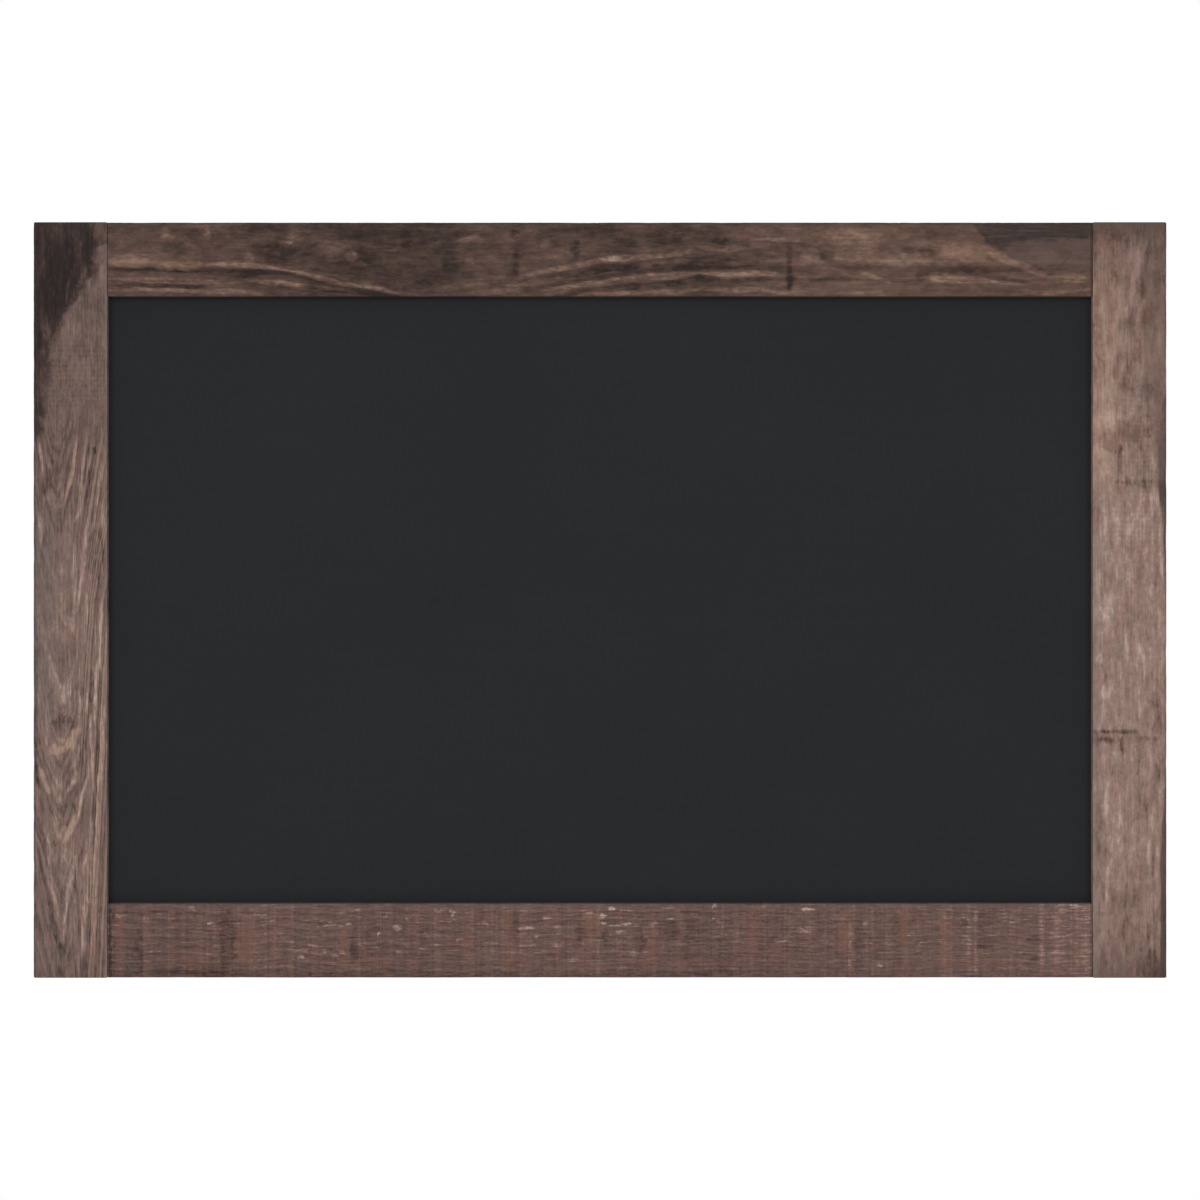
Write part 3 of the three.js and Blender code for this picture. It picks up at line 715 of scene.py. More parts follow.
def right_stile_wood():
    material, tree, wood = start_wood("right_stile", 17.3)
    run, side = wood.run, wood.side
    grain = wood.noise(34.0, 1.9, 2.0, 3.0, 0.6)
    dashes = wood.noise(11.0, 1.6, 5.0)
    blotch = wood.noise(16.0, 7.0, 9.0, 3.0, 0.6)
    cloud = wood.noise(60.0, 22.0, 12.0)
    level = side + wood.noise(120.0, 30.0, 20.0) * 22.0 + wood.deep * 0.4
    streak = tree.wave_noise(level / 9.0, 2.0, 0.6) - 0.5
    base = tree.curve(run, [(221, -0.1), (236, 0.1), (256, 0.27), (290, 0.40), (350, 0.50), (410, 0.56),
                            (470, 0.59), (520, 0.68), (600, 0.66), (720, 0.62), (780, 0.60), (830, 0.56),
                            (890, 0.46), (950, 0.34), (965, 0.26), (978, 0.10)])
    speckle = wood.noise(4.0, 4.0, 16.0)
    figure = grain * 0.65 + dashes * 0.35 + blotch * 1.4 + cloud * 0.9 + streak * 0.4 + speckle * 0.5
    calm = tree.curve(run, [(221, 0.4), (300, 0.75), (400, 1.0), (860, 1.0), (930, 0.75), (978, 0.4)])
    tone = base + figure * calm
    sawn = tree.sine(run * 1.25 + blotch * 9.0)
    sawn = sawn * tree.smooth(run, 385.0, 410.0) * tree.smooth(run, 580.0, 540.0)
    tone = tone + sawn * 0.03 * tree.smooth(side, 1100.0, 1122.0)
    wood.rubbed = 1.0 + wood.noise(8.0, 3.5, 80.0) * 1.2
    tone = wood.add_marks(tone, right_spots, right_veins)
    tone = wood.add_cuts(tone, right_cuts)
    stops = [(-0.25, srgb(68, 52, 47)), (0.0, srgb(90, 71, 63)), (0.25, srgb(119, 96, 87)),
             (0.5, srgb(138, 113, 103)), (0.75, srgb(150, 125, 115)), (1.0, srgb(172, 147, 136)),
             (1.35, srgb(192, 169, 159))]
    tan_stops = [(-0.25, srgb(66, 50, 42)), (0.0, srgb(94, 72, 61)), (0.25, srgb(126, 99, 86)),
                 (0.5, srgb(146, 118, 103)), (0.75, srgb(160, 133, 117)), (1.1, srgb(176, 150, 134))]
    colour = tree.ramp(tone, stops)
    tan = tree.smooth(side, 1130.0, 1106.0) * tree.smooth(run, 225.0, 330.0, 0.4)
    tan = tan * tree.smooth(run, 500.0, 470.0) * tree.smooth(wood.deep, 4.0, 1.0)
    colour = tree.mix(colour, tree.ramp(tone, tan_stops), tan * 0.75)
    colour = tree.mix(colour, srgb(104, 74, 64), wood.add_marks(0.0, right_red_spots))
    # Grey-brown weathering along the top and the upper right edge
    limit = tree.curve(run, [(221, 1141), (250, 1145), (275, 1142), (300, 1146), (345, 1141), (400, 1143),
                             (440, 1152), (480, 1156), (540, 1164), (600, 1168), (980, 1168)])
    ragged = wood.noise(14.0, 6.0, 30.0, 3.0, 0.6) * 16.0
    grey = tree.smooth(side + ragged - limit, -3.0, 3.0) * 0.55
    top_band = tree.smooth(run + ragged * 0.5, 234.0, 227.0)
    grey = tree.largest(grey, top_band * 0.85) * wood.front
    colour = tree.mix(colour, srgb(97, 79, 71), grey * (0.8 + grain))
    # Dark wane along the outer edge
    wane_limit = tree.curve(run, [(390, 1166), (405, 1160), (450, 1157), (480, 1156.5), (500, 1158),
                                  (545, 1162), (600, 1164.5), (780, 1164), (830, 1159.5), (870, 1158),
                                  (905, 1159), (978, 1158)])
    wane = tree.smooth(side + wood.noise(22.0, 5.0, 33.0) * 3.0 - wane_limit, -1.2, 1.6)
    wane = wane * tree.curve(run, [(221, 0.3), (400, 0.4), (478, 0.6), (486, 0.9), (496, 0.9), (520, 0.6),
                                   (700, 0.6), (850, 0.8), (978, 0.9)])
    colour = tree.mix(colour, srgb(72, 60, 56), wane * wood.front)
    lilac = tree.smooth(side, 1099.0, 1093.0) * tree.smooth(run, 480.0, 560.0)
    lilac = lilac * tree.smooth(wood.deep, 2.0, 0.5)
    colour = tree.mix(colour, srgb(134, 117, 113), lilac * 0.45)
    wood.finish(colour, grain, arris=0.4)
    return material


top_spots = [
    (130, 256, 22, 4.4, 0.17), (165, 232, 5.5, 6.6, 0.21), (168, 238, 4.4, 4.4, 0.17),
    (208, 233, 3.3, 6.6, 0.26), (288, 243, 6.6, 3.3, 0.30), (294, 238, 7.7, 8.8, 0.21),
    (330, 244, 15.4, 5.5, 0.27), (468, 262, 5.5, 5.5, 0.26), (389, 263, 6.6, 4.4, 0.15),
    (398, 245, 3.3, 7.7, 0.21), (362, 265, 8.8, 2.2, 0.26), (352, 257, 6.6, 5.5, 0.21),
    (515, 283, 13.2, 2.6, 0.24), (545, 245, 6.6, 5.5, 0.21), (530, 232, 6.6, 5.5, 0.17),
    (608, 260, 9.9, 4.4, 0.21), (545, 257, 17.6, 4.4, 0.13), (648, 276, 7.7, 3.3, 0.17),
    (725, 248, 13.2, 3.9, 0.21), (760, 262, 24.2, 3.3, 0.10), (808, 254, 9.9, 5.5, 0.21),
    (828, 269, 13.2, 2.9, 0.21), (850, 238, 37.4, 9.9, 0.17), (862, 255, 17.6, 9.9, 0.13),
    (905, 260, 24.2, 5.5, 0.21), (945, 250, 8.8, 9.9, 0.17), (922, 243, 19.8, 3.3, 0.13),
    (1040, 255, 15.4, 9.9, 0.15), (935, 280, 8.8, 3.3, 0.26), (948, 277, 5.5, 2.8, 0.26),
    (1075, 279, 13.2, 4.4, 0.30), (835, 292, 33, 2.2, 0.19), (120, 240, 13.2, 7.7, 0.09),
    (250, 258, 6.6, 6.6, 0.17), (475, 240, 6.6, 3.3, 0.17),
    (174, 250, 13.2, 7.7, -0.19), (262, 228, 30.8, 4.4, -0.21), (272, 252, 19.8, 12.1, -0.26),
    (248, 275, 12.1, 2.4, -0.26), (340, 264, 12.1, 2.8, -0.21), (364, 256, 9.9, 7.7, -0.17),
    (406, 240, 7.7, 12.1, -0.17), (425, 283, 9.9, 3.9, -0.30), (418, 265, 9.9, 12.1, -0.09),
    (450, 265, 8.8, 12.1, -0.27), (458, 236, 5.5, 4.4, -0.21), (515, 233, 3.3, 4.4, -0.30),
    (575, 250, 5.5, 8.8, -0.34), (605, 268, 15.4, 4.4, -0.17), (628, 268, 9.9, 4.4, -0.32),
    (657, 268, 6.6, 4.4, -0.30), (690, 265, 22, 4.4, -0.30), (673, 283, 13.2, 4.4, -0.38),
    (632, 287, 8.8, 3.3, -0.32), (660, 240, 13.2, 9.9, -0.21), (676, 236, 5.5, 9.9, -0.21),
    (722, 241, 8.8, 4.4, -0.32), (745, 244, 5.5, 4.4, -0.27), (735, 264, 44, 4.4, -0.24),
    (705, 280, 15.4, 4.4, -0.26), (745, 281, 15.4, 3.3, -0.22), (789, 281, 5, 6.6, -0.34),
    (826, 256, 7.7, 5.5, -0.26), (856, 266, 13.2, 5.5, -0.26), (828, 278, 24.2, 3.3, -0.21),
    (905, 250, 6.6, 4.4, -0.26), (925, 252, 6.6, 5.5, -0.27), (928, 234, 6.6, 5.5, -0.17),
    (885, 237, 5.5, 5.5, -0.17), (960, 272, 37.4, 4.4, -0.27), (968, 270, 7.7, 5.5, -0.30),
    (921, 277, 6.6, 7.7, -0.30), (1034, 268, 5.5, 3.3, -0.21), (1064, 253, 7.7, 3.3, -0.26),
    (590, 230, 33, 5.5, -0.13), (620, 243, 19.8, 9.9, -0.15), (760, 270, 22, 2.2, -0.09),
    (700, 234, 8.8, 6.6, -0.17), (970, 288, 11, 3.3, -0.09), (895, 278, 15.4, 4.4, -0.13),
    (440, 245, 24.2, 11, -0.07), (190, 232, 15.4, 5.5, -0.12),
]
top_veins = [
    ((205, 266), (245, 265.5), (288, 271.5), 2.5, 0.39),
    ((283, 271), (335, 280.5), (398, 293.5), 2.4, 0.43),
    ((110, 280), (180, 281.5), (255, 281.5), 2.3, 0.34), ((248, 282), (285, 284), (352, 291), 2.3, 0.41),
    ((112, 290.5), (170, 290.5), (262, 294), 2.3, 0.39), ((435, 291), (470, 283), (505, 274), 3.9, 0.23),
    ((515, 279), (562, 268), (618, 260), 3, 0.37), ((600, 260), (642, 258), (690, 251.5), 3.2, 0.39),
    ((540, 291), (580, 285), (622, 277.5), 2.6, 0.37), ((612, 278), (650, 277), (698, 273.5), 3.2, 0.34),
    ((690, 274), (740, 274), (786, 275), 2.5, 0.39), ((580, 293), (640, 293), (700, 290), 2.3, 0.32),
    ((690, 289.5), (740, 290), (800, 292.5), 2.3, 0.34), ((690, 243), (705, 248), (745, 247), 2.3, 0.23),
    ((752, 240), (775, 239.5), (802, 240), 1.8, 0.32), ((852, 270), (868, 275), (892, 284), 2.3, 0.23),
    ((1015, 290), (1050, 293), (1088, 290), 2.3, 0.39), ((925, 281), (965, 280), (1018, 284), 2.5, 0.32),
    ((985, 252), (1012, 263), (1045, 276), 3.9, 0.34), ((455, 243), (464, 240), (480, 236), 3, 0.26),
    ((345, 240), (354, 254), (366, 264), 2.5, 0.18),
    ((112, 270.5), (150, 269), (212, 273), 2.3, -0.31), ((112, 286), (145, 286), (205, 287), 2.5, -0.33),
    ((225, 271), (262, 272), (318, 280), 2.5, -0.28), ((545, 279), (585, 273), (640, 266), 2.8, -0.28),
    ((1044, 276), (1058, 268), (1070, 253), 2.5, -0.21), ((985, 277), (1005, 279), (1030, 283), 2.3, -0.26),
    ((300, 286), (345, 292), (400, 296), 3, -0.38), ((800, 246), (830, 262), (862, 272), 2.8, -0.13),
]
top_tan_spots = [
    (130, 262, 26, 5, 0.34), (182, 266, 24, 4.2, 0.36), (968, 252, 26, 9, 0.30), (850, 234, 30, 6, 0.16),
    (1066, 278, 20, 4, 0.16), (900, 264, 14, 4, 0.12), (1070, 252, 10, 4, 0.05),
]
top_cuts = [
    (515, 247, 277, 3.2, -0.3), (788.5, 247, 291, 2.6, -0.3), (512, 228, 238, 2.4, -0.16),
]


def top_rail_wood():
    material, tree, wood = start_wood("top_rail", 29.7)
    run, side = wood.run, wood.side
    grain = wood.noise(34.0, 2.0, 2.0, 3.0, 0.6)
    dashes = wood.noise(11.0, 1.8, 5.0)
    blotch = wood.noise(15.0, 8.0, 9.0, 3.0, 0.65)
    cloud = wood.noise(55.0, 22.0, 12.0)
    # Growth rings that sag in the middle of the board
    valley = tree.curve(run, [(110, 0), (250, 1), (285, 6), (340, 16), (395, 28), (425, 34), (460, 32),
                              (500, 27), (545, 18), (590, 9), (640, 4), (690, -1), (1090, 0)])
    level = side - valley + wood.noise(60.0, 14.0, 20.0) * 8.0 + wood.noise(14.0, 5.0, 24.0) * 3.0
    level = level + wood.deep * 0.4
    rings = tree.wave_noise(level / 6.5 + 2.0, 1.0, 0.5) - 0.5
    base = tree.curve(run, [(110, 0.52), (196, 0.46), (276, 0.38), (356, 0.27), (436, 0.29), (496, 0.47),
                            (536, 0.48), (600, 0.40), (680, 0.38), (740, 0.5), (836, 0.64), (916, 0.60),
                            (996, 0.52), (1090, 0.50)])
    clarity = tree.smooth(level, 252.0, 268.0)
    speckle = wood.noise(5.0, 3.5, 16.0)
    tone = base - 0.05 + rings * (0.15 + 0.6 * clarity) + grain * 0.25 + dashes * 0.2 + blotch * 1.0
    tone = tone + cloud * 0.8 + speckle * 0.2
    tone = wood.add_marks(tone, top_spots + top_tan_spots, top_veins)
    warm = wood.add_marks(tree.smooth(run, 780.0, 860.0) * 0.10, top_tan_spots)
    tone = wood.add_cuts(tone, top_cuts)
    stops = [(-0.2, srgb(38, 27, 25)), (0.0, srgb(49, 36, 32)), (0.25, srgb(67, 51, 45)),
             (0.5, srgb(86, 66, 58)), (0.75, srgb(105, 82, 72)), (1.0, srgb(128, 103, 90)),
             (1.4, srgb(152, 128, 113))]
    colour = tree.ramp(tone, stops)
    colour = tree.mix(colour, srgb(126, 95, 77), tree.smallest(warm, 0.7))
    # Dark band at the right end, with a slate-grey triangle below it
    limit = tree.curve(run, [(965, 216), (975, 229), (985, 243), (1000, 252), (1010, 244), (1045, 240),
                             (1090, 239)])
    band = tree.smooth(limit + wood.noise(13.0, 5.0, 30.0, 3.0) * 16.0 - side, -3.0, 3.6) * wood.front
    band_stops = [(0.1, srgb(42, 33, 33)), (0.5, srgb(57, 46, 44)), (0.9, srgb(78, 65, 61))]
    band_colour = tree.ramp(0.5 + grain * 1.2 + blotch * 0.8, band_stops)
    lower = tree.curve(run, [(998, 240), (1012, 259), (1030, 268), (1050, 271), (1090, 271)])
    slate = tree.smooth(lower - side + blotch * 22.0, -3.0, 4.0)
    slate = slate * tree.smooth(run, 994.0, 1004.0) * wood.front
    colour = tree.mix(colour, srgb(86, 71, 68), slate * (0.5 + blotch * 1.2))
    colour = tree.mix(colour, band_colour, band * 0.92)
    joint = tree.smooth(run, 1087.6, 1090.4) * tree.smooth(wood.deep, 3.0, 1.0)
    colour = tree.mix(colour, srgb(46, 33, 30), joint * 0.7)
    wood.finish(colour, grain, arris=0.85)
    return material


bottom_spots = [
    (117, 914, 3.3, 1.8, 0.62), (117, 925, 2.9, 1.6, 0.46), (146, 918, 3.3, 4.9, 0.26),
    (178, 905.5, 9.8, 1.3, 0.30), (189, 906, 3.3, 2.5, 0.36), (211, 922, 4.1, 1.4, 0.62),
    (232, 914.5, 4.9, 1.3, 0.30), (248, 915, 3.3, 1.3, 0.36), (262, 915, 3.3, 1.3, 0.36),
    (283, 935, 4.1, 2, 0.46), (300, 957, 3.3, 2.5, 0.51), (299, 950, 3.3, 1.6, 0.41),
    (306, 951, 4.1, 1.5, 0.41), (330, 924, 3.3, 1.6, 0.51), (340, 925, 4.9, 1.3, 0.36),
    (350, 923, 3, 2.1, 0.68), (327, 934, 4.9, 1.5, 0.36), (312, 943, 4.1, 1.5, 0.36),
    (325, 950, 2, 3.3, 0.41), (334, 956, 4.1, 1.5, 0.51), (343, 952, 3.3, 2, 0.51),
    (381, 933, 2.1, 2.5, 0.98), (383, 915, 5.7, 1.2, 0.46), (398, 926, 4.5, 2.1, 0.89),
    (405, 917.5, 3.3, 1.5, 0.51), (441, 910, 6.6, 1.4, 0.56), (451, 912, 3.3, 1.8, 0.62),
    (448, 920, 5.7, 1.4, 0.51), (420, 920, 6.6, 1.3, 0.36), (403, 944, 4.9, 1.5, 0.41),
    (424, 946, 5.7, 1.4, 0.36), (459, 940, 4.1, 2.1, 0.62), (398, 951, 3.3, 2, 0.36),
    (360, 944, 4.9, 1.3, 0.30), (484, 923, 6.6, 1.8, 0.41), (437, 957, 9.8, 2.5, 0.19),
    (537, 935, 4.1, 2.1, 0.56), (525, 927, 9.8, 1.2, 0.41), (545, 917, 4.9, 1.4, 0.41),
    (560, 945, 9.8, 1.3, 0.26), (590, 913, 7.4, 1.6, 0.51), (608, 908, 4.9, 1.6, 0.89),
    (603, 914, 3.3, 1.6, 0.62), (604, 922, 3.3, 2, 0.62), (615, 925, 5.7, 1.4, 0.51),
    (626, 923.5, 4.9, 1.5, 0.78), (625, 910, 4.9, 1.6, 0.51), (620, 932, 5.7, 1.3, 0.41),
    (652, 923, 3.3, 2.5, 0.46), (670, 918, 3.3, 1.5, 0.62), (668, 905.5, 5.7, 1.5, 0.46),
    (714, 905.5, 3.7, 1.6, 0.93), (712, 917.5, 3.3, 1.3, 0.62), (718, 921, 4.1, 1.3, 0.30),
    (767, 906, 3.3, 1.6, 0.68), (780, 939, 5.7, 1.5, 0.62), (806, 908, 5.7, 1.5, 0.68),
    (796, 921.5, 5.7, 1.6, 0.36), (802, 930, 4.9, 1.5, 0.41), (879, 964.5, 4.1, 1.4, 0.56),
    (933, 922.5, 3.3, 1.6, 0.41), (925, 941, 8.2, 1.3, 0.30), (990, 934, 7.4, 1.1, 0.30),
    (1062, 935.5, 9.8, 1.3, 0.30), (1058, 953, 8.2, 1.5, 0.30), (1066, 904, 16.4, 1.4, 0.51),
    (632, 953, 2.5, 4.9, 0.26), (865, 922, 3.3, 1.6, 0.30),
    (140, 950, 4, 24, -0.28), (227, 940, 9, 30, -0.34), (228, 908, 3, 3, -0.35), (515, 924, 4, 14, -0.3),
    (354, 948, 5, 12, -0.35), (580, 932, 5, 12, -0.25), (672, 930, 7, 9, -0.3), (690, 940, 8, 22, -0.12),
    (604, 938, 4, 6, -0.3), (642, 942, 3, 12, -0.3), (982, 920, 7, 12, -0.22), (985, 940, 9, 9, -0.2),
    (1034, 940, 7, 5, -0.3), (1034, 958, 6, 3, -0.4), (962, 921, 4, 3, -0.35), (200, 970, 50, 5, -0.22),
    (110.5, 940, 1.5, 50, -0.5), (720, 955, 12, 16, -0.1), (895, 920, 4, 12, -0.15),
    (858, 945, 4, 25, -0.2),
]
bottom_veins = [
    ((560, 962), (720, 962), (800, 963), 1.2, 0.12), ((700, 973), (900, 974), (1085, 972), 1.6, 0.16),
]
bottom_red_spots = [
    (123, 930, 7, 18, 0.25), (196, 955, 14, 9, 0.35), (247, 940, 11, 26, 0.6), (343, 938, 4, 18, 0.7),
    (468, 942, 4, 24, 0.5), (508, 930, 10, 40, 0.4), (590, 925, 7, 22, 0.6), (650, 945, 7, 22, 0.35),
    (752, 935, 8, 26, 0.45), (779, 952, 4, 18, 0.45), (844, 930, 6, 22, 0.7), (903, 925, 5, 22, 0.45),
    (948, 940, 10, 26, 0.25), (585, 965, 24, 6, 0.3), (370, 962, 40, 5, 0.3), (970, 962, 50, 5, 0.3),
    (1072, 950, 6, 14, 0.35), (700, 962, 40, 3, 0.25), (430, 912, 20, 3, 0.3),
]
bottom_cuts = [
    (598, 900, 984, 1.4, 0.26), (722, 900, 935, 1.3, 0.22), (849.5, 920, 984, 2.0, 0.28),
    (975, 900, 984, 1.4, 0.28), (967, 900, 984, 4.0, 0.12), (1040, 900, 984, 1.2, 0.14),
    (208, 900, 984, 1.0, 0.12), (168, 900, 984, 1.2, 0.1), (110, 900, 984, 1.2, -0.5),
]


def bottom_rail_wood():
    material, tree, wood = start_wood("bottom_rail", 41.9)
    run, side = wood.run, wood.side
    grain = wood.noise(26.0, 1.5, 2.0, 3.0, 0.6)
    dashes = wood.noise(9.0, 1.4, 5.0)
    blotch = wood.noise(9.0, 12.0, 9.0, 3.0, 0.6)
    # Upright bands left by the saw, each with its own shade and its own shift of the sawn lines
    bands = tree.wave_noise(run / 14.0 + 5.0, 3.0, 0.7) - 0.5
    narrow = tree.wave_noise(run / 3.0 + 1.0, 2.0, 0.6) - 0.5
    row = side + tree.wave_noise(run / 60.0 + 9.0, 1.0, 0.5) * 7.0 + wood.noise(30.0, 20.0, 20.0) * 4.0
    rows = tree.sine(row * (math.tau / 8.5)) * (0.5 + 2.4 * wood.noise(30.0, 8.0, 26.0))
    fine_rows = tree.sine(row * (math.tau / 4.15) + 1.3) * (0.6 + 2.6 * wood.noise(17.0, 5.0, 28.0))
    base = tree.curve(run, [(110, 0.38), (210, 0.44), (260, 0.54), (330, 0.44), (420, 0.42), (510, 0.52),
                            (600, 0.52), (690, 0.44), (780, 0.46), (860, 0.50), (960, 0.55), (1020, 0.58),
                            (1090, 0.82)])
    speckle = wood.noise(3.5, 2.5, 16.0)
    broken = wood.noise(14.0, 2.2, 18.0, 2.0, 0.7)
    rows = rows * tree.curve(run, [(110, 1.6), (560, 1.3), (800, 0.8), (1090, 0.7)])
    tone = base - 0.05 + rows * 0.13 + fine_rows * 0.12 + grain * 0.6 + dashes * 0.8
    tone = tone + blotch * 0.6 + broken * 0.7
    flecks = tree.smooth(wood.noise(8.0, 1.9, 23.0, 1.0), 0.09, 0.2) * tree.smooth(side, 968.0, 940.0)
    tone = tone + bands * 0.5 + narrow * 0.35 + speckle * 0.7 - tree.smooth(side, 964.0, 974.0) * 0.2
    tone = tone + flecks * wood.front * 0.22
    tone = wood.add_marks(tone, bottom_spots, bottom_veins)
    warm = wood.add_marks(tree.smooth(bands, 0.04, 0.22) * 0.3, bottom_red_spots)
    tone = wood.add_cuts(tone, bottom_cuts)
    stops = [(-0.25, srgb(60, 43, 39)), (0.0, srgb(75, 56, 51)), (0.25, srgb(92, 70, 64)),
             (0.5, srgb(105, 81, 74)), (0.75, srgb(117, 92, 84)), (1.0, srgb(144, 118, 108)),
             (1.4, srgb(178, 155, 144))]
    colour = tree.ramp(tone, stops)
    colour = tree.mix(colour, srgb(128, 88, 72), tree.smallest(warm, 0.8) * 0.55)
    joint = tree.smooth(run, 1087.8, 1090.2) * tree.smooth(wood.deep, 3.0, 1.0)
    colour = tree.mix(colour, srgb(56, 42, 38), joint * 0.6)
    cool = tree.smooth(bands, -0.05, -0.2) * 0.25 + tree.smooth(side, 909.0, 905.0) * 0.3
    colour = tree.mix(colour, srgb(98, 86, 86), cool * wood.front)
    wood.finish(colour, grain + rows * 0.02, arris=0.45, relief=0.35)
    return material


def lumps(tree, place, size, detail=2.0):
    """Noise about size millimetres wide, over three place terms."""
    return tree.noise(tree.vector(*[part / size for part in place]), detail, 0.6)


def chalk_coating():
    """Matt slate-grey coating, faintly clouded by wiping."""
    material, tree = new_material("chalk coating")
    x, y, z = object_mm(tree)
    broad = tree.noise(tree.vector(x / 160.0, z / 120.0, y), 3.0, 0.5)
    fine = lumps(tree, (x, z, y), 0.9)
    wipes = tree.noise(tree.vector(x / 140.0 + z / 300.0, z / 9.0, 4.0), 3.0, 0.6)
    tone = 0.52 + (broad - 0.5) * 0.5 + (fine - 0.5) * 0.2 + (wipes - 0.5) * 0.25
    stops = [(0.0, srgb(33, 34, 36)), (0.5, srgb(37, 38, 40)), (1.0, srgb(42, 43, 45))]
    finish_surface(tree, tree.ramp(tone, stops), 0.92 - 0.08 * fine, fine, 0.03, specular=0.12)
    return material


def hardboard():
    """Pressed fibres, with the print of the screen on which they were pressed."""
    material, tree = new_material("hardboard")
    x, y, z = object_mm(tree)
    screen_pitch = 1.9
    weave = tree.sine(x * (math.tau / screen_pitch)) * tree.sine(z * (math.tau / screen_pitch))
    wool = tree.noise(tree.vector(x / 3.0, z / 3.0, y / 3.0), 4.0, 0.65)
    chips = lumps(tree, (x, z, y), 0.8)
    cloud = tree.noise(tree.vector(x / 150.0, z / 150.0, y), 3.0, 0.5)
    tone = 0.5 + (wool - 0.5) * 0.9 + (chips - 0.5) * 0.7 + weave * 0.08 + (cloud - 0.5) * 0.4
    stops = [(0.0, srgb(72, 52, 38)), (0.5, srgb(103, 77, 57)), (1.0, srgb(144, 114, 88))]
    finish_surface(tree, tree.ramp(tone, stops), 0.9, tone + weave * 0.4, 0.15)
    return material


def beech():
    """Pale wood with its grain along X, as the dowels lie."""
    material, tree = new_material("beech")
    x, y, z = object_mm(tree)
    grain = tree.noise(tree.vector(x / 12.0, y / 0.6, z / 0.6), 3.0, 0.6)
    stops = [(0.3, srgb(178, 144, 106)), (0.7, srgb(214, 184, 146))]
    finish_surface(tree, tree.ramp(grain, stops), 0.7, grain, 0.1)
    return material


def plated(name, dark, light, roughness):
    """Plated metal, a little clouded."""
    material, tree = new_material(name)
    place = object_mm(tree)
    cloud = lumps(tree, place, 3.0, 3.0)
    grit = lumps(tree, place, 0.25)
    colour = tree.ramp(cloud, [(0.3, dark), (0.7, light)])
    finish_surface(tree, colour, roughness + 0.25 * (cloud - 0.5), grit, 0.01, metallic=1.0)
    return material


def black_rubber():
    material, tree = new_material("black rubber")
    grit = lumps(tree, object_mm(tree), 0.4)
    colour = tree.ramp(grit, [(0.3, srgb(24, 24, 25)), (0.7, srgb(34, 34, 35))])
    finish_surface(tree, colour, 0.75, grit, 0.05)
    return material


# Meshes
def new_piece(name, mesh):
    piece = bpy.data.objects.new(name, mesh)
    bpy.context.collection.objects.link(piece)
    return piece


def dress(piece, material):
    """Gives a piece its one material, also on faces that a cut left without any."""
    piece.data.materials.clear()
    piece.data.materials.append(material)


def mesh_from(shape, name):
    """Mesh of a closed shape, with its faces outwards."""
    mesh = bpy.data.meshes.new(name)
    bmesh.ops.recalc_face_normals(shape, faces=shape.faces)
    shape.to_mesh(mesh)
    shape.free()
    return mesh


def prism(near, far):
    """A closed prism between two outlines with as many points."""
    shape = bmesh.new()
    near = [shape.verts.new(point) for point in near]
    far = [shape.verts.new(point) for point in far]
    shape.faces.new(near)
    shape.faces.new(reversed(far))
    for i in range(len(near)):
        j = (i + 1) % len(near)
        shape.faces.new((near[i], far[i], far[j], near[j]))
    return shape


def upright_prism(outline, low, high):
    """A prism over an outline of (x, z) points, from depth low to depth high along Y."""
    return prism([(x, low, z) for x, z in outline], [(x, high, z) for x, z in outline])


def arc(middle, radius, start, end, steps):
    """Points of an arc about a middle, in a plane."""
    angles = [start + (end - start) * i / steps for i in range(steps + 1)]
    return [(middle[0] + radius * math.cos(a), middle[1] + radius * math.sin(a)) for a in angles]


def rounded_rectangle(left, right, bottom, top, radius, steps=16):
    points = []
    centres = ((right - radius, top - radius), (left + radius, top - radius),
               (left + radius, bottom + radius), (right - radius, bottom + radius))
    for quarter, centre in enumerate(centres):
        points += arc(centre, radius, quarter * math.pi / 2, (quarter + 1) * math.pi / 2, steps)
    return points


def cylinder_between(start, end, radius, sides=24):
    axis = end - start
    turn = Vector((0, 0, 1)).rotation_difference(axis).to_matrix().to_4x4()
    shape = bmesh.new()
    bmesh.ops.create_cone(shape, cap_ends=True, segments=sides, radius1=radius, radius2=radius,
                          depth=axis.length, matrix=Matrix.Translation((start + end) / 2) @ turn)
    return shape


def box_shape(low, high):
    shape = bmesh.new()
    size = high - low
    scale = Matrix.Diagonal((size.x, size.y, size.z, 1.0))
    bmesh.ops.create_cube(shape, size=1.0, matrix=Matrix.Translation((low + high) / 2) @ scale)
    return shape


def join_shapes(shapes, name):
    """One mesh of several closed shapes that lie apart."""
    joined = bmesh.new()
    for shape in shapes:
        part = bpy.data.meshes.new("part")
        shape.to_mesh(part)
        shape.free()
        joined.from_mesh(part)
        bpy.data.meshes.remove(part)
    return mesh_from(joined, name)


def bevel(piece, width, degrees):
    """Rounds the edges that turn by more than so many degrees, and keeps the result."""
    modifier = piece.modifiers.new("bevel", "BEVEL")
    modifier.width = width
    modifier.segments = 2
    modifier.limit_method = "ANGLE"
    modifier.angle_limit = math.radians(degrees)
    keep_result(piece)


def combine(piece, tool_mesh, operation):
    """Cuts a piece with a tool shape, or keeps only what lies inside it."""
    tool = bpy.data.objects.new("tool", tool_mesh)
    bpy.context.collection.objects.link(tool)
    modifier = piece.modifiers.new("cut", "BOOLEAN")
    modifier.operation = operation
    modifier.solver = "MANIFOLD"
    modifier.object = tool
    keep_result(piece)
    bpy.data.objects.remove(tool)
    bpy.data.meshes.remove(tool_mesh)


def keep_result(piece):
    """Turns the piece's modifiers into its plain mesh."""
    ready = piece.evaluated_get(bpy.context.evaluated_depsgraph_get())
    mesh = bpy.data.meshes.new_from_object(ready)
    piece.modifiers.clear()
    old = piece.data
    piece.data = mesh
    bpy.data.meshes.remove(old)


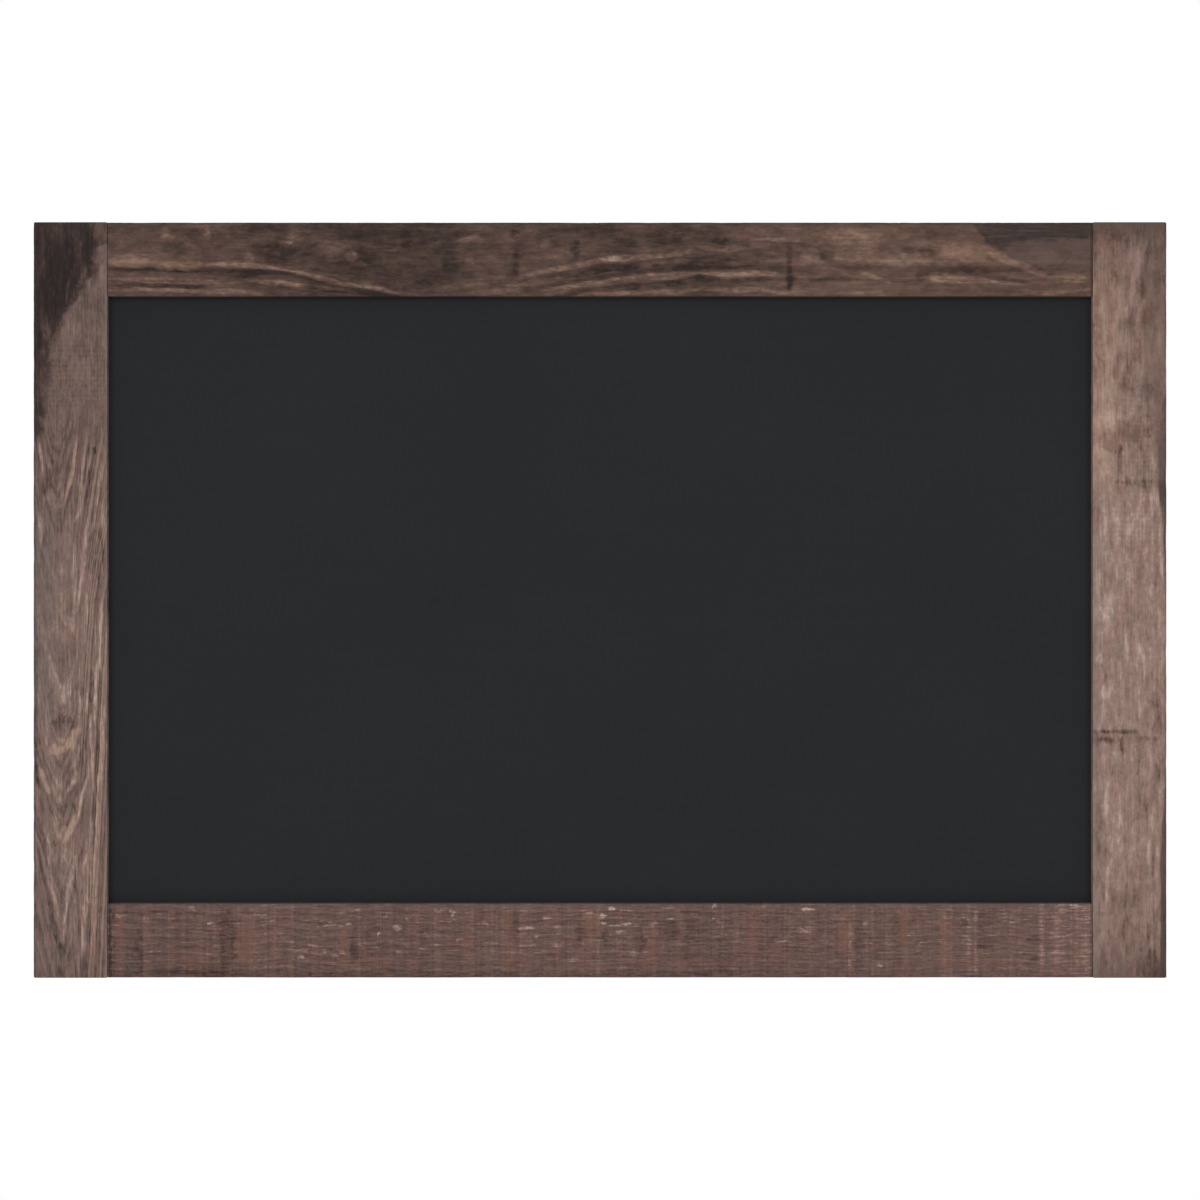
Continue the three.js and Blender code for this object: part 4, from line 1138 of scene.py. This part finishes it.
def smooth_but_for_edges(piece, degrees):
    """Smooth shading, but for edges that turn by more than so many degrees."""
    for polygon in piece.data.polygons:
        polygon.use_smooth = True
    piece.data.set_sharp_from_angle(angle=math.radians(degrees))


# Geometry trees
def new_geometry_tree(name, inputs):
    """Empty tree with a geometry in and out and the named inputs."""
    group = bpy.data.node_groups.new(name, "GeometryNodeTree")
    add = group.interface.new_socket
    add("Geometry", in_out="INPUT", socket_type="NodeSocketGeometry")
    for label, kind in inputs:
        add(label, in_out="INPUT", socket_type=kind)
    add("Geometry", in_out="OUTPUT", socket_type="NodeSocketGeometry")
    tree = Tree(group)
    source = group.nodes.new("NodeGroupInput")
    terms = {label: Term(tree, source.outputs[label]) for label, _ in inputs}
    terms["Geometry"] = Term(tree, source.outputs["Geometry"])
    return group, tree, terms


def end_tree(tree, geometry, material):
    """Ends a tree with real meshes in their material."""
    real_mesh = tree.node("GeometryNodeRealizeInstances", None, {"Geometry": geometry})
    dressed = tree.node("GeometryNodeSetMaterial", None, {"Geometry": real_mesh, "Material": material})
    tree.node("NodeGroupOutput", None, {"Geometry": dressed})


def set_inputs(modifier, values):
    """Sets a tree's inputs by their identifiers."""
    sockets = modifier.node_group.interface.items_tree
    names = {item.name: item.identifier for item in sockets if item.in_out == "INPUT"}
    for label, value in values.items():
        modifier[names[label]] = value


def worn_board_tree():
    """A worn board with its length along Z, its outer edge towards -X and its face towards -Y."""
    real, whole = "NodeSocketFloat", "NodeSocketInt"
    inputs = [("Width", real), ("Thickness", real), ("Length", real), ("Steps across", whole),
              ("Steps deep", whole), ("Steps along", whole), ("Outer ease", real), ("Inner ease", real),
              ("Back ease", real), ("End ease", real), ("Wear", real), ("Chips", real),
              ("Grain relief", real), ("Grain width", real), ("Grain length", real), ("Saw relief", real),
              ("Saw pitch", real), ("Cup", real), ("Seed", real), ("Turn", "NodeSocketRotation"),
              ("Place", "NodeSocketVector"), ("Material", "NodeSocketMaterial")]
    group, tree, given = new_geometry_tree("worn board", inputs)
    size = tree.vector(given["Width"], given["Thickness"], given["Length"])
    block = tree.node("GeometryNodeMeshCube", None, {
        "Size": size, "Vertices X": given["Steps across"], "Vertices Y": given["Steps deep"],
        "Vertices Z": given["Steps along"]})
    half = {"x": given["Width"] / 2.0, "y": given["Thickness"] / 2.0, "z": given["Length"] / 2.0}
    start = dict(zip("xyz", tree.parts(tree.node("GeometryNodeInputPosition"))))

    def crowd(axis, room):
        """Draws the grid's lines together towards the two faces of an axis."""
        reach = half[axis]
        way_in = reach - abs(start[axis])
        drawn = way_in * way_in / (way_in + room) * ((reach + room) / reach)
        return tree.sign(start[axis]) * (reach - drawn)

    x, y, z = crowd("x", room=2.0 * mm), crowd("y", room=2.0 * mm), crowd("z", room=1.5 * mm)
    nearly_nothing = 0.0000001

    def ease(a, b, reach_a, reach_b, radius):
        """Rounds the arrises between two pairs of faces."""
        past_a = abs(a) - (reach_a - radius)
        past_b = abs(b) - (reach_b - radius)
        corner = (past_a > 0.0) * (past_b > 0.0)
        far = tree.largest(tree.root(past_a * past_a + past_b * past_b), nearly_nothing)
        pull = tree.largest(past_a, past_b) / far - 1.0
        new_a = a + corner * tree.sign(a) * past_a * pull
        new_b = b + corner * tree.sign(b) * past_b * pull
        return new_a, new_b

    # Wear in long stretches of the arrises, and short chips on the front ones
    seed = given["Seed"]
    along_noise = tree.noise(tree.vector(z / (30 * mm), tree.sign(x) * 5.0 + seed, tree.sign(y)), 3.0, 0.6)
    worn = given["Wear"] * tree.smooth(along_noise, 0.42, 0.72)
    chip_noise = tree.noise(tree.vector(z / (7 * mm), tree.sign(x) * 9.0 + seed, 3.0), 3.0, 0.6)
    chip = given["Chips"] * tree.smooth(chip_noise, 0.58, 0.74)
    outer = x < 0.0
    front = y < 0.0
    front_radius = outer * (given["Outer ease"] - given["Inner ease"]) + given["Inner ease"] + worn + chip
    radius = given["Back ease"] + front * (front_radius - given["Back ease"])
    x, y = ease(x, y, half["x"], half["y"], radius)
    y, z = ease(y, z, half["y"], half["z"], given["End ease"] + worn * 0.5)
    x, z = ease(x, z, half["x"], half["z"], given["End ease"] * 0.6)

    # Sunken grain, saw ridges and slow swells, on the front and the outer side
    width, length = given["Grain width"], given["Grain length"]
    fibres = tree.noise(tree.vector(x / width, y / width, z / length + seed), 3.0, 0.6)
    waver = tree.noise(tree.vector(x / (14 * mm), seed, z / (60 * mm))) * (1.6 * mm)
    saw = tree.sine((x + waver) * math.tau / given["Saw pitch"]) * 0.5 + 0.5
    swell = tree.noise(tree.vector(x / (35 * mm), y / (35 * mm), z / (120 * mm) + seed))
    sunk = given["Grain relief"] * fibres + given["Saw relief"] * saw + given["Cup"] * swell
    on_front = tree.smooth(y / half["y"] * -1.0, 0.80, 0.98)
    on_outer = tree.smooth(x / half["x"] * -1.0, 0.93, 0.99)
    y = y + sunk * on_front
    x = x + sunk * on_outer * (1.0 - on_front)
    position = tree.vector(x, y, z)
    moved = tree.node("GeometryNodeSetPosition", None, {"Geometry": block, "Position": position})
    placed = tree.node("GeometryNodeTransform", None, {
        "Geometry": moved, "Rotation": given["Turn"], "Translation": given["Place"]})
    end_tree(tree, placed, given["Material"])
    return group


def copies_tree():
    """Puts a copy of one object at each vertex, turned about Y by the vertex's own turn."""
    inputs = [("Pattern", "NodeSocketObject"), ("Material", "NodeSocketMaterial")]
    group, tree, given = new_geometry_tree("placed copies", inputs)
    pattern = tree.node("GeometryNodeObjectInfo", {"transform_space": "ORIGINAL"},
                        {"Object": given["Pattern"], "As Instance": True}, out="Geometry")
    turn = tree.node("GeometryNodeInputNamedAttribute", {"data_type": "FLOAT"}, {"Name": "turn"})
    rotation = tree.node("FunctionNodeEulerToRotation", None, {0: tree.vector(0.0, turn, 0.0)})
    spread = tree.node("GeometryNodeInstanceOnPoints", None, {
        "Points": given["Geometry"], "Instance": pattern, "Rotation": rotation})
    end_tree(tree, spread, given["Material"])
    return group


board_tree = worn_board_tree()
placing_tree = copies_tree()


def place_copies(name, pattern, places, material):
    """One mesh with a copy of the pattern at each (point, turn about Y)."""
    points = bpy.data.meshes.new(name)
    points.from_pydata([tuple(point) for point, _ in places], [], [])
    turns = points.attributes.new("turn", "FLOAT", "POINT")
    for value, (_, turn) in zip(turns.data, places):
        value.value = turn
    piece = new_piece(name, points)
    modifier = piece.modifiers.new("copies", "NODES")
    modifier.node_group = placing_tree
    set_inputs(modifier, {"Pattern": pattern, "Material": material})
    keep_result(piece)
    return piece


# Frame members: worn boards, cut for the rebate, dowels, points and screws
board_half_width = (board_right - board_left) / 2
board_half_height = (board_top - board_bottom) / 2
# For each member, its turn about Y and how far its outer side lies from the board's middle
sides = {
    "left_stile": (0.0, board_half_width),
    "top_rail": (math.pi / 2, board_half_height),
    "right_stile": (math.pi, board_half_width),
    "bottom_rail": (-math.pi / 2, board_half_height),
}


def rebate_shape():
    """The room that the cutter leaves round the panel."""
    low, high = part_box("backer_board")
    grow = panel_clearance
    outline = rounded_rectangle(low.x - grow, high.x + grow, low.z - grow, high.z + grow, cutter_radius)
    return upright_prism(outline, sheet_front - seat_gap, back_face + cut_past)


def socket_shapes(member):
    """Dowel holes, point slots and screw pilots that reach into a member."""
    low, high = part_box(member)
    shapes = []
    for name in sorted(nodes):
        piece_low, piece_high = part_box(name)
        inside = all(piece_low[i] < high[i] and piece_high[i] > low[i] for i in range(3))
        if not inside:
            continue
        middle = (piece_low + piece_high) / 2
        if name.startswith("dowel"):
            radius = (piece_high.z - piece_low.z) / 2 + dowel_slack
            start = Vector((piece_low.x - dowel_end_room, middle.y, middle.z))
            end = Vector((piece_high.x + dowel_end_room, middle.y, middle.z))
            shapes.append(cylinder_between(start, end, radius))
        elif name.startswith("panel_point"):
            slack = Vector((point_slack, point_slack, point_slack))
            shapes.append(box_shape(piece_low - slack, piece_high + slack))
        elif name.startswith("hanger_screw"):
            tip = Vector((middle.x, piece_low.y - cut_past, middle.z))
            top = Vector((middle.x, back_face + cut_past, middle.z))
            shapes.append(cylinder_between(tip, top, screw_shank / 2 + screw_slack))
    return shapes


def frame_member(name, material, wear):
    """A worn board in its place, with its cuts, instead of the CAD member."""
    turn, reach = sides[name]
    low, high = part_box(name)
    length = max(high.x - low.x, high.z - low.z)
    end_ease = outer_ease if name.endswith("stile") else rail_end_ease
    piece = new_piece(name + "_board", bpy.data.meshes.new(name + "_board"))
    modifier = piece.modifiers.new("board", "NODES")
    modifier.node_group = board_tree
    outward = Matrix.Rotation(turn, 3, "Y") @ Vector((-reach + member_width / 2, 0, 0))
    place = board_centre + Vector((0, member_thickness / 2, 0)) + outward
    values = {
        "Width": member_width, "Thickness": member_thickness, "Length": length,
        "Steps across": steps_across, "Steps deep": steps_deep, "Steps along": int(length / step_along),
        "Outer ease": outer_ease, "Inner ease": inner_ease, "Back ease": back_ease,
        "End ease": end_ease, "Turn": (0.0, turn, 0.0), "Place": tuple(place),
        "Material": material, **wear}
    set_inputs(modifier, values)
    keep_result(piece)
    combine(piece, mesh_from(rebate_shape(), "rebate"), "DIFFERENCE")
    combine(piece, join_shapes(socket_shapes(name), "sockets"), "DIFFERENCE")
    dress(piece, material)
    smooth_but_for_edges(piece, degrees=40)
    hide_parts(name)
    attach(piece, "board")
    "wood_" + name.split("_")[0]


def wear_inputs(seed, worn, chips, grain, cup=0.5, saw=0.0):
    """How a member is worn: arrises, chips, grain (relief, width, length), cup and saw relief in mm."""
    relief, width, length = grain
    return {"Seed": seed, "Wear": worn * mm, "Chips": chips * mm, "Grain relief": relief * mm,
            "Grain width": width * mm, "Grain length": length * mm, "Cup": cup * mm,
            "Saw relief": saw * mm, "Saw pitch": 6.9 * mm}


wears = {
    "left_stile": wear_inputs(3.0, worn=1.1, chips=0.5, grain=(0.35, 3.2, 70)),
    "right_stile": wear_inputs(11.0, worn=1.3, chips=0.6, grain=(0.25, 3.4, 80)),
    "top_rail": wear_inputs(23.0, worn=1.0, chips=1.6, grain=(0.3, 3.6, 70)),
    "bottom_rail": wear_inputs(31.0, worn=0.9, chips=0.8, grain=(0.25, 2.4, 30), cup=0.4, saw=0.25),
}
woods = {
    "left_stile": left_stile_wood(),
    "right_stile": right_stile_wood(),
    "top_rail": top_rail_wood(),
    "bottom_rail": bottom_rail_wood(),
}
for member, wood in woods.items():
    frame_member(member, wood, wears[member])


# Hangers, points and bumpers: a pattern of each, copied to its places
def skin(shape, rings, steps):
    """Faces between each ring of points and the next, where a ring may also be a single point."""
    for low, high in zip(rings, rings[1:]):
        for i in range(steps):
            j = (i + 1) % steps
            corners = [low[i % len(low)], low[j % len(low)], high[j % len(high)], high[i % len(high)]]
            shape.faces.new(list(dict.fromkeys(corners)))


def revolve(profile, steps):
    """A closed form turned about Y from (radius, height) points, whose ends lie on the axis."""
    shape = bmesh.new()
    rings = []
    for radius, height in profile:
        turns = full_turn(steps) if radius > 0 else [0.0]
        places = [(radius * math.cos(turn), height, radius * math.sin(turn)) for turn in turns]
        rings.append([shape.verts.new(place) for place in places])
    skin(shape, rings, steps)
    return shape


def strap_section():
    """Outline of the folded strap across the hinge axis, as (x, y) points."""
    middle_radius = fold_radius + strap_thickness / 2
    bend_height = leaf_top - strap_thickness / 2 + middle_radius
    reach = loop_inside + strap_thickness / 2 + middle_radius
    bend = (math.sqrt(reach ** 2 - bend_height ** 2), bend_height)
    meet = math.atan2(bend[1], bend[0])
    down = 1.5 * math.pi
    end = screw_from_axis + strap_width / 2
    loop_steps, bend_steps = 40, 14
    outline = [(end, -loop_outside)]
    outline += arc((0, 0), loop_outside, down, meet, loop_steps)
    outline += arc(bend, fold_radius, meet + math.pi, down, bend_steps)[1:]
    outline += [(end, leaf_top), (end, leaf_top - strap_thickness)]
    outline += arc(bend, fold_radius + strap_thickness, down, meet + math.pi, bend_steps)
    outline += arc((0, 0), loop_inside, meet, down, loop_steps)[1:]
    outline += [(end, -loop_inside)]
    return outline


def strap_mesh():
    """The folded strap with a round end and its screw hole, its hinge axis along Z at the origin."""
    half = strap_width / 2
    section = strap_section()
    folded = prism([(x, y, -half) for x, y in section], [(x, y, half) for x, y in section])
    strap = new_piece("strap pattern", mesh_from(folded, "strap"))
    room = loop_outside + 1 * mm
    plan = arc((screw_from_axis, 0), half, -math.pi / 2, math.pi / 2, 32)
    plan += [(-room, half), (-room, -half)]
    combine(strap, mesh_from(upright_prism(plan, -room, room), "plan"), "INTERSECT")
    hole_start = Vector((screw_from_axis, -room, 0))
    hole_end = Vector((screw_from_axis, room, 0))
    hole = cylinder_between(hole_start, hole_end, screw_shank / 2 + strap_hole_slack, sides=40)
    combine(strap, mesh_from(hole, "hole"), "DIFFERENCE")
    bevel(strap, strap_bevel, degrees=50)
    return strap


def ring_line():
    """Centreline of the wire ring as (x, z) points, from one end of the bar round to the other."""
    half_gap = ring_butt_gap / 2
    end_chamfer = 0.2 * mm
    corner_z = ring_half_width - ring_corner
    one_side = [(0, half_gap), (0, half_gap + end_chamfer), (0, corner_z / 2)]
    corner = arc((-ring_corner, corner_z), ring_corner, 0, math.pi / 2, 10)
    bow = arc((-ring_corner, 0), ring_half_width, math.pi / 2, 1.5 * math.pi, 60)
    other_side = [(x, -z) for x, z in reversed(one_side)]
    back_corner = [(x, -z) for x, z in reversed(corner)]
    return one_side + corner + bow[1:-1] + back_corner + other_side


def ring_mesh(wire_sides=20, end_share=0.8):
    """The bent wire ring in its rest pose, its bar along Z at the origin, its ends a little thinner."""
    line = ring_line()
    up = Vector((0, 1, 0))
    shape = bmesh.new()
    rings = []
    last = len(line) - 1
    for i, (x, z) in enumerate(line):
        before, after = line[max(i - 1, 0)], line[min(i + 1, last)]
        along = Vector((after[0] - before[0], 0, after[1] - before[1])).normalized()
        across = along.cross(up)
        radius = wire_radius * (end_share if i in (0, last) else 1.0)
        middle = Vector((x, 0, z))
        spokes = [math.cos(turn) * across + math.sin(turn) * up for turn in full_turn(wire_sides)]
        rings.append([shape.verts.new(middle + radius * spoke) for spoke in spokes])
    skin(shape, rings, wire_sides)
    shape.faces.new(rings[0])
    shape.faces.new(reversed(rings[-1]))
    lean = Matrix.Rotation(ring_lean, 4, "Z")
    bmesh.ops.transform(shape, matrix=lean, verts=shape.verts)
    return new_piece("ring pattern", mesh_from(shape, "ring"))


def recess_blade(width, thickness):
    """A blade of the cross recess, narrower at its foot."""
    foot_width, foot_thickness = 0.55, 0.8
    shape = bmesh.new()
    scale = Matrix.Diagonal((width, 2 * recess_depth, thickness, 1.0))
    bmesh.ops.create_cube(shape, size=1.0, matrix=Matrix.Translation((0, screw_head_height, 0)) @ scale)
    for vertex in shape.verts:
        if vertex.co.y < screw_head_height:
            vertex.co.x *= foot_width
            vertex.co.z *= foot_thickness
    return mesh_from(shape, "blade")


def screw_mesh():
    """The pan-head screw, its point towards -Y and the underside of its head at the origin."""
    head = screw_head / 2
    shank = screw_shank / 2
    fillet = 0.3 * mm
    profile = [(0, -screw_length), (shank, -screw_length + screw_tip), (shank, -fillet),
               (shank + fillet, 0), (head - fillet, 0), (head - 0.08 * mm, 0.09 * mm), (head, fillet)]
    # The dome, as shares of the head's radius and height
    dome = [(1.0, 0.4), (0.97, 0.55), (0.9, 0.72), (0.78, 0.86), (0.6, 0.95), (0.35, 0.99), (0, 1)]
    profile += [(across * head, up * screw_head_height) for across, up in dome]
    screw = new_piece("screw pattern", mesh_from(revolve(profile, 40), "screw"))
    combine(screw, recess_blade(recess_width, recess_slot), "DIFFERENCE")
    combine(screw, recess_blade(recess_slot, recess_width), "DIFFERENCE")
    return screw


def point_mesh():
    """A framer's point with its sharp end towards -X, about its own middle."""
    half = point_width / 2
    tip = -point_length / 2
    outline = [(tip, 0), (tip + half, -half)]
    outline += arc((point_length / 2 - half, 0), half, -math.pi / 2, math.pi / 2, 20)
    outline += [(tip + half, half)]
    plate = upright_prism(outline, -point_thickness / 2, point_thickness / 2)
    point = new_piece("point pattern", mesh_from(plate, "point"))
    bevel(point, point_bevel, degrees=30)
    return point


def bumper_mesh():
    """The round bumper with its foot at the origin and a shallow dimple in its top."""
    radius = bumper_diameter / 2
    foot_round = 0.2 * mm
    dimple_wall, dimple_depth = 0.25 * mm, 0.3 * mm
    turn_in = radius - bumper_round
    crown = arc((turn_in, bumper_height - bumper_round), bumper_round, 0, math.pi / 2, 10)
    profile = [(0, 0), (radius - foot_round, 0), (radius, foot_round)] + crown
    profile += [(0.35 * radius, bumper_height), (0.3 * radius, bumper_height - dimple_wall),
                (0, bumper_height - dimple_depth)]
    return new_piece("bumper pattern", mesh_from(revolve(profile, 48), "bumper"))


def add_copies(name, pattern, places, material, replaced, body):
    """Copies of a pattern that stand for CAD nodes and ride on a body."""
    piece = place_copies(name, pattern, places, material)
    dress(piece, material)
    smooth_but_for_edges(piece, degrees=35)
    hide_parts(*replaced)
    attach(piece, body)


def remove_pattern(pattern):
    mesh = pattern.data
    bpy.data.objects.remove(pattern)
    bpy.data.meshes.remove(mesh)


def middle_of(node):
    low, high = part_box(node)
    return (low + high) / 2


hanger_turns = {"top_left": math.pi / 2, "top_right": math.pi / 2, "side_upper": 0.0, "side_lower": 0.0}
nickel = plated("nickel strap", srgb(150, 147, 140), srgb(190, 187, 180), 0.36)
wire_nickel = plated("nickel wire", srgb(165, 162, 155), srgb(205, 202, 196), 0.27)
screw_steel = plated("screw steel", srgb(140, 140, 138), srgb(178, 178, 175), 0.38)
zinc = plated("zinc point", srgb(140, 144, 147), srgb(180, 184, 187), 0.45)
strap_pattern = strap_mesh()
ring_pattern = ring_mesh()
screw_pattern = screw_mesh()
for label, turn in hanger_turns.items():
    screw_middle = middle_of(f"hanger_screw_{label}")
    inwards = Matrix.Rotation(turn, 3, "Y") @ Vector((1, 0, 0))
    hinge = Vector((screw_middle.x, hinge_depth, screw_middle.z)) - inwards * screw_from_axis
    seat = Vector((screw_middle.x, hinge_depth + leaf_top + glue_line, screw_middle.z))
    add_copies(f"strap_{label}", strap_pattern, [(hinge, turn)], nickel,
               [f"hanger_strap_{label}"], "board")
    add_copies(f"wire_ring_{label}", ring_pattern, [(hinge, turn)], wire_nickel,
               [f"hanger_ring_{label}"], f"ring_{label}")
    add_copies(f"screw_{label}", screw_pattern, [(seat, turn)], screw_steel,
               [f"hanger_screw_{label}"], "board")
side_turns = {"left": 0.0, "top": math.pi / 2, "right": math.pi, "bottom": -math.pi / 2}
point_nodes = sorted(name for name in nodes if name.startswith("panel_point"))
point_places = [(middle_of(name), side_turns[name.split("_")[2]]) for name in point_nodes]
point_pattern = point_mesh()
add_copies("framers_points", point_pattern, point_places, zinc, point_nodes, "board")
bumper_nodes = sorted(name for name in nodes if name.startswith("bumper"))
bumper_turn = 0.7
bumper_places = []
for i, name in enumerate(bumper_nodes):
    middle = middle_of(name)
    bumper_places.append((Vector((middle.x, back_face + glue_line, middle.z)), i * bumper_turn))
bumper_pattern = bumper_mesh()
rubber = black_rubber()
add_copies("bumpers", bumper_pattern, bumper_places, rubber, bumper_nodes, "board")
for pattern in (strap_pattern, ring_pattern, screw_pattern, point_pattern, bumper_pattern):
    remove_pattern(pattern)

# CAD nodes that keep their shape
kept_finishes = {"writing_sheet": chalk_coating(), "backer_board": hardboard()}
dowel_wood = beech()
for name in nodes:
    if name.startswith("dowel"):
        kept_finishes[name] = dowel_wood
for name, material in kept_finishes.items():
    dress(nodes[name], material)
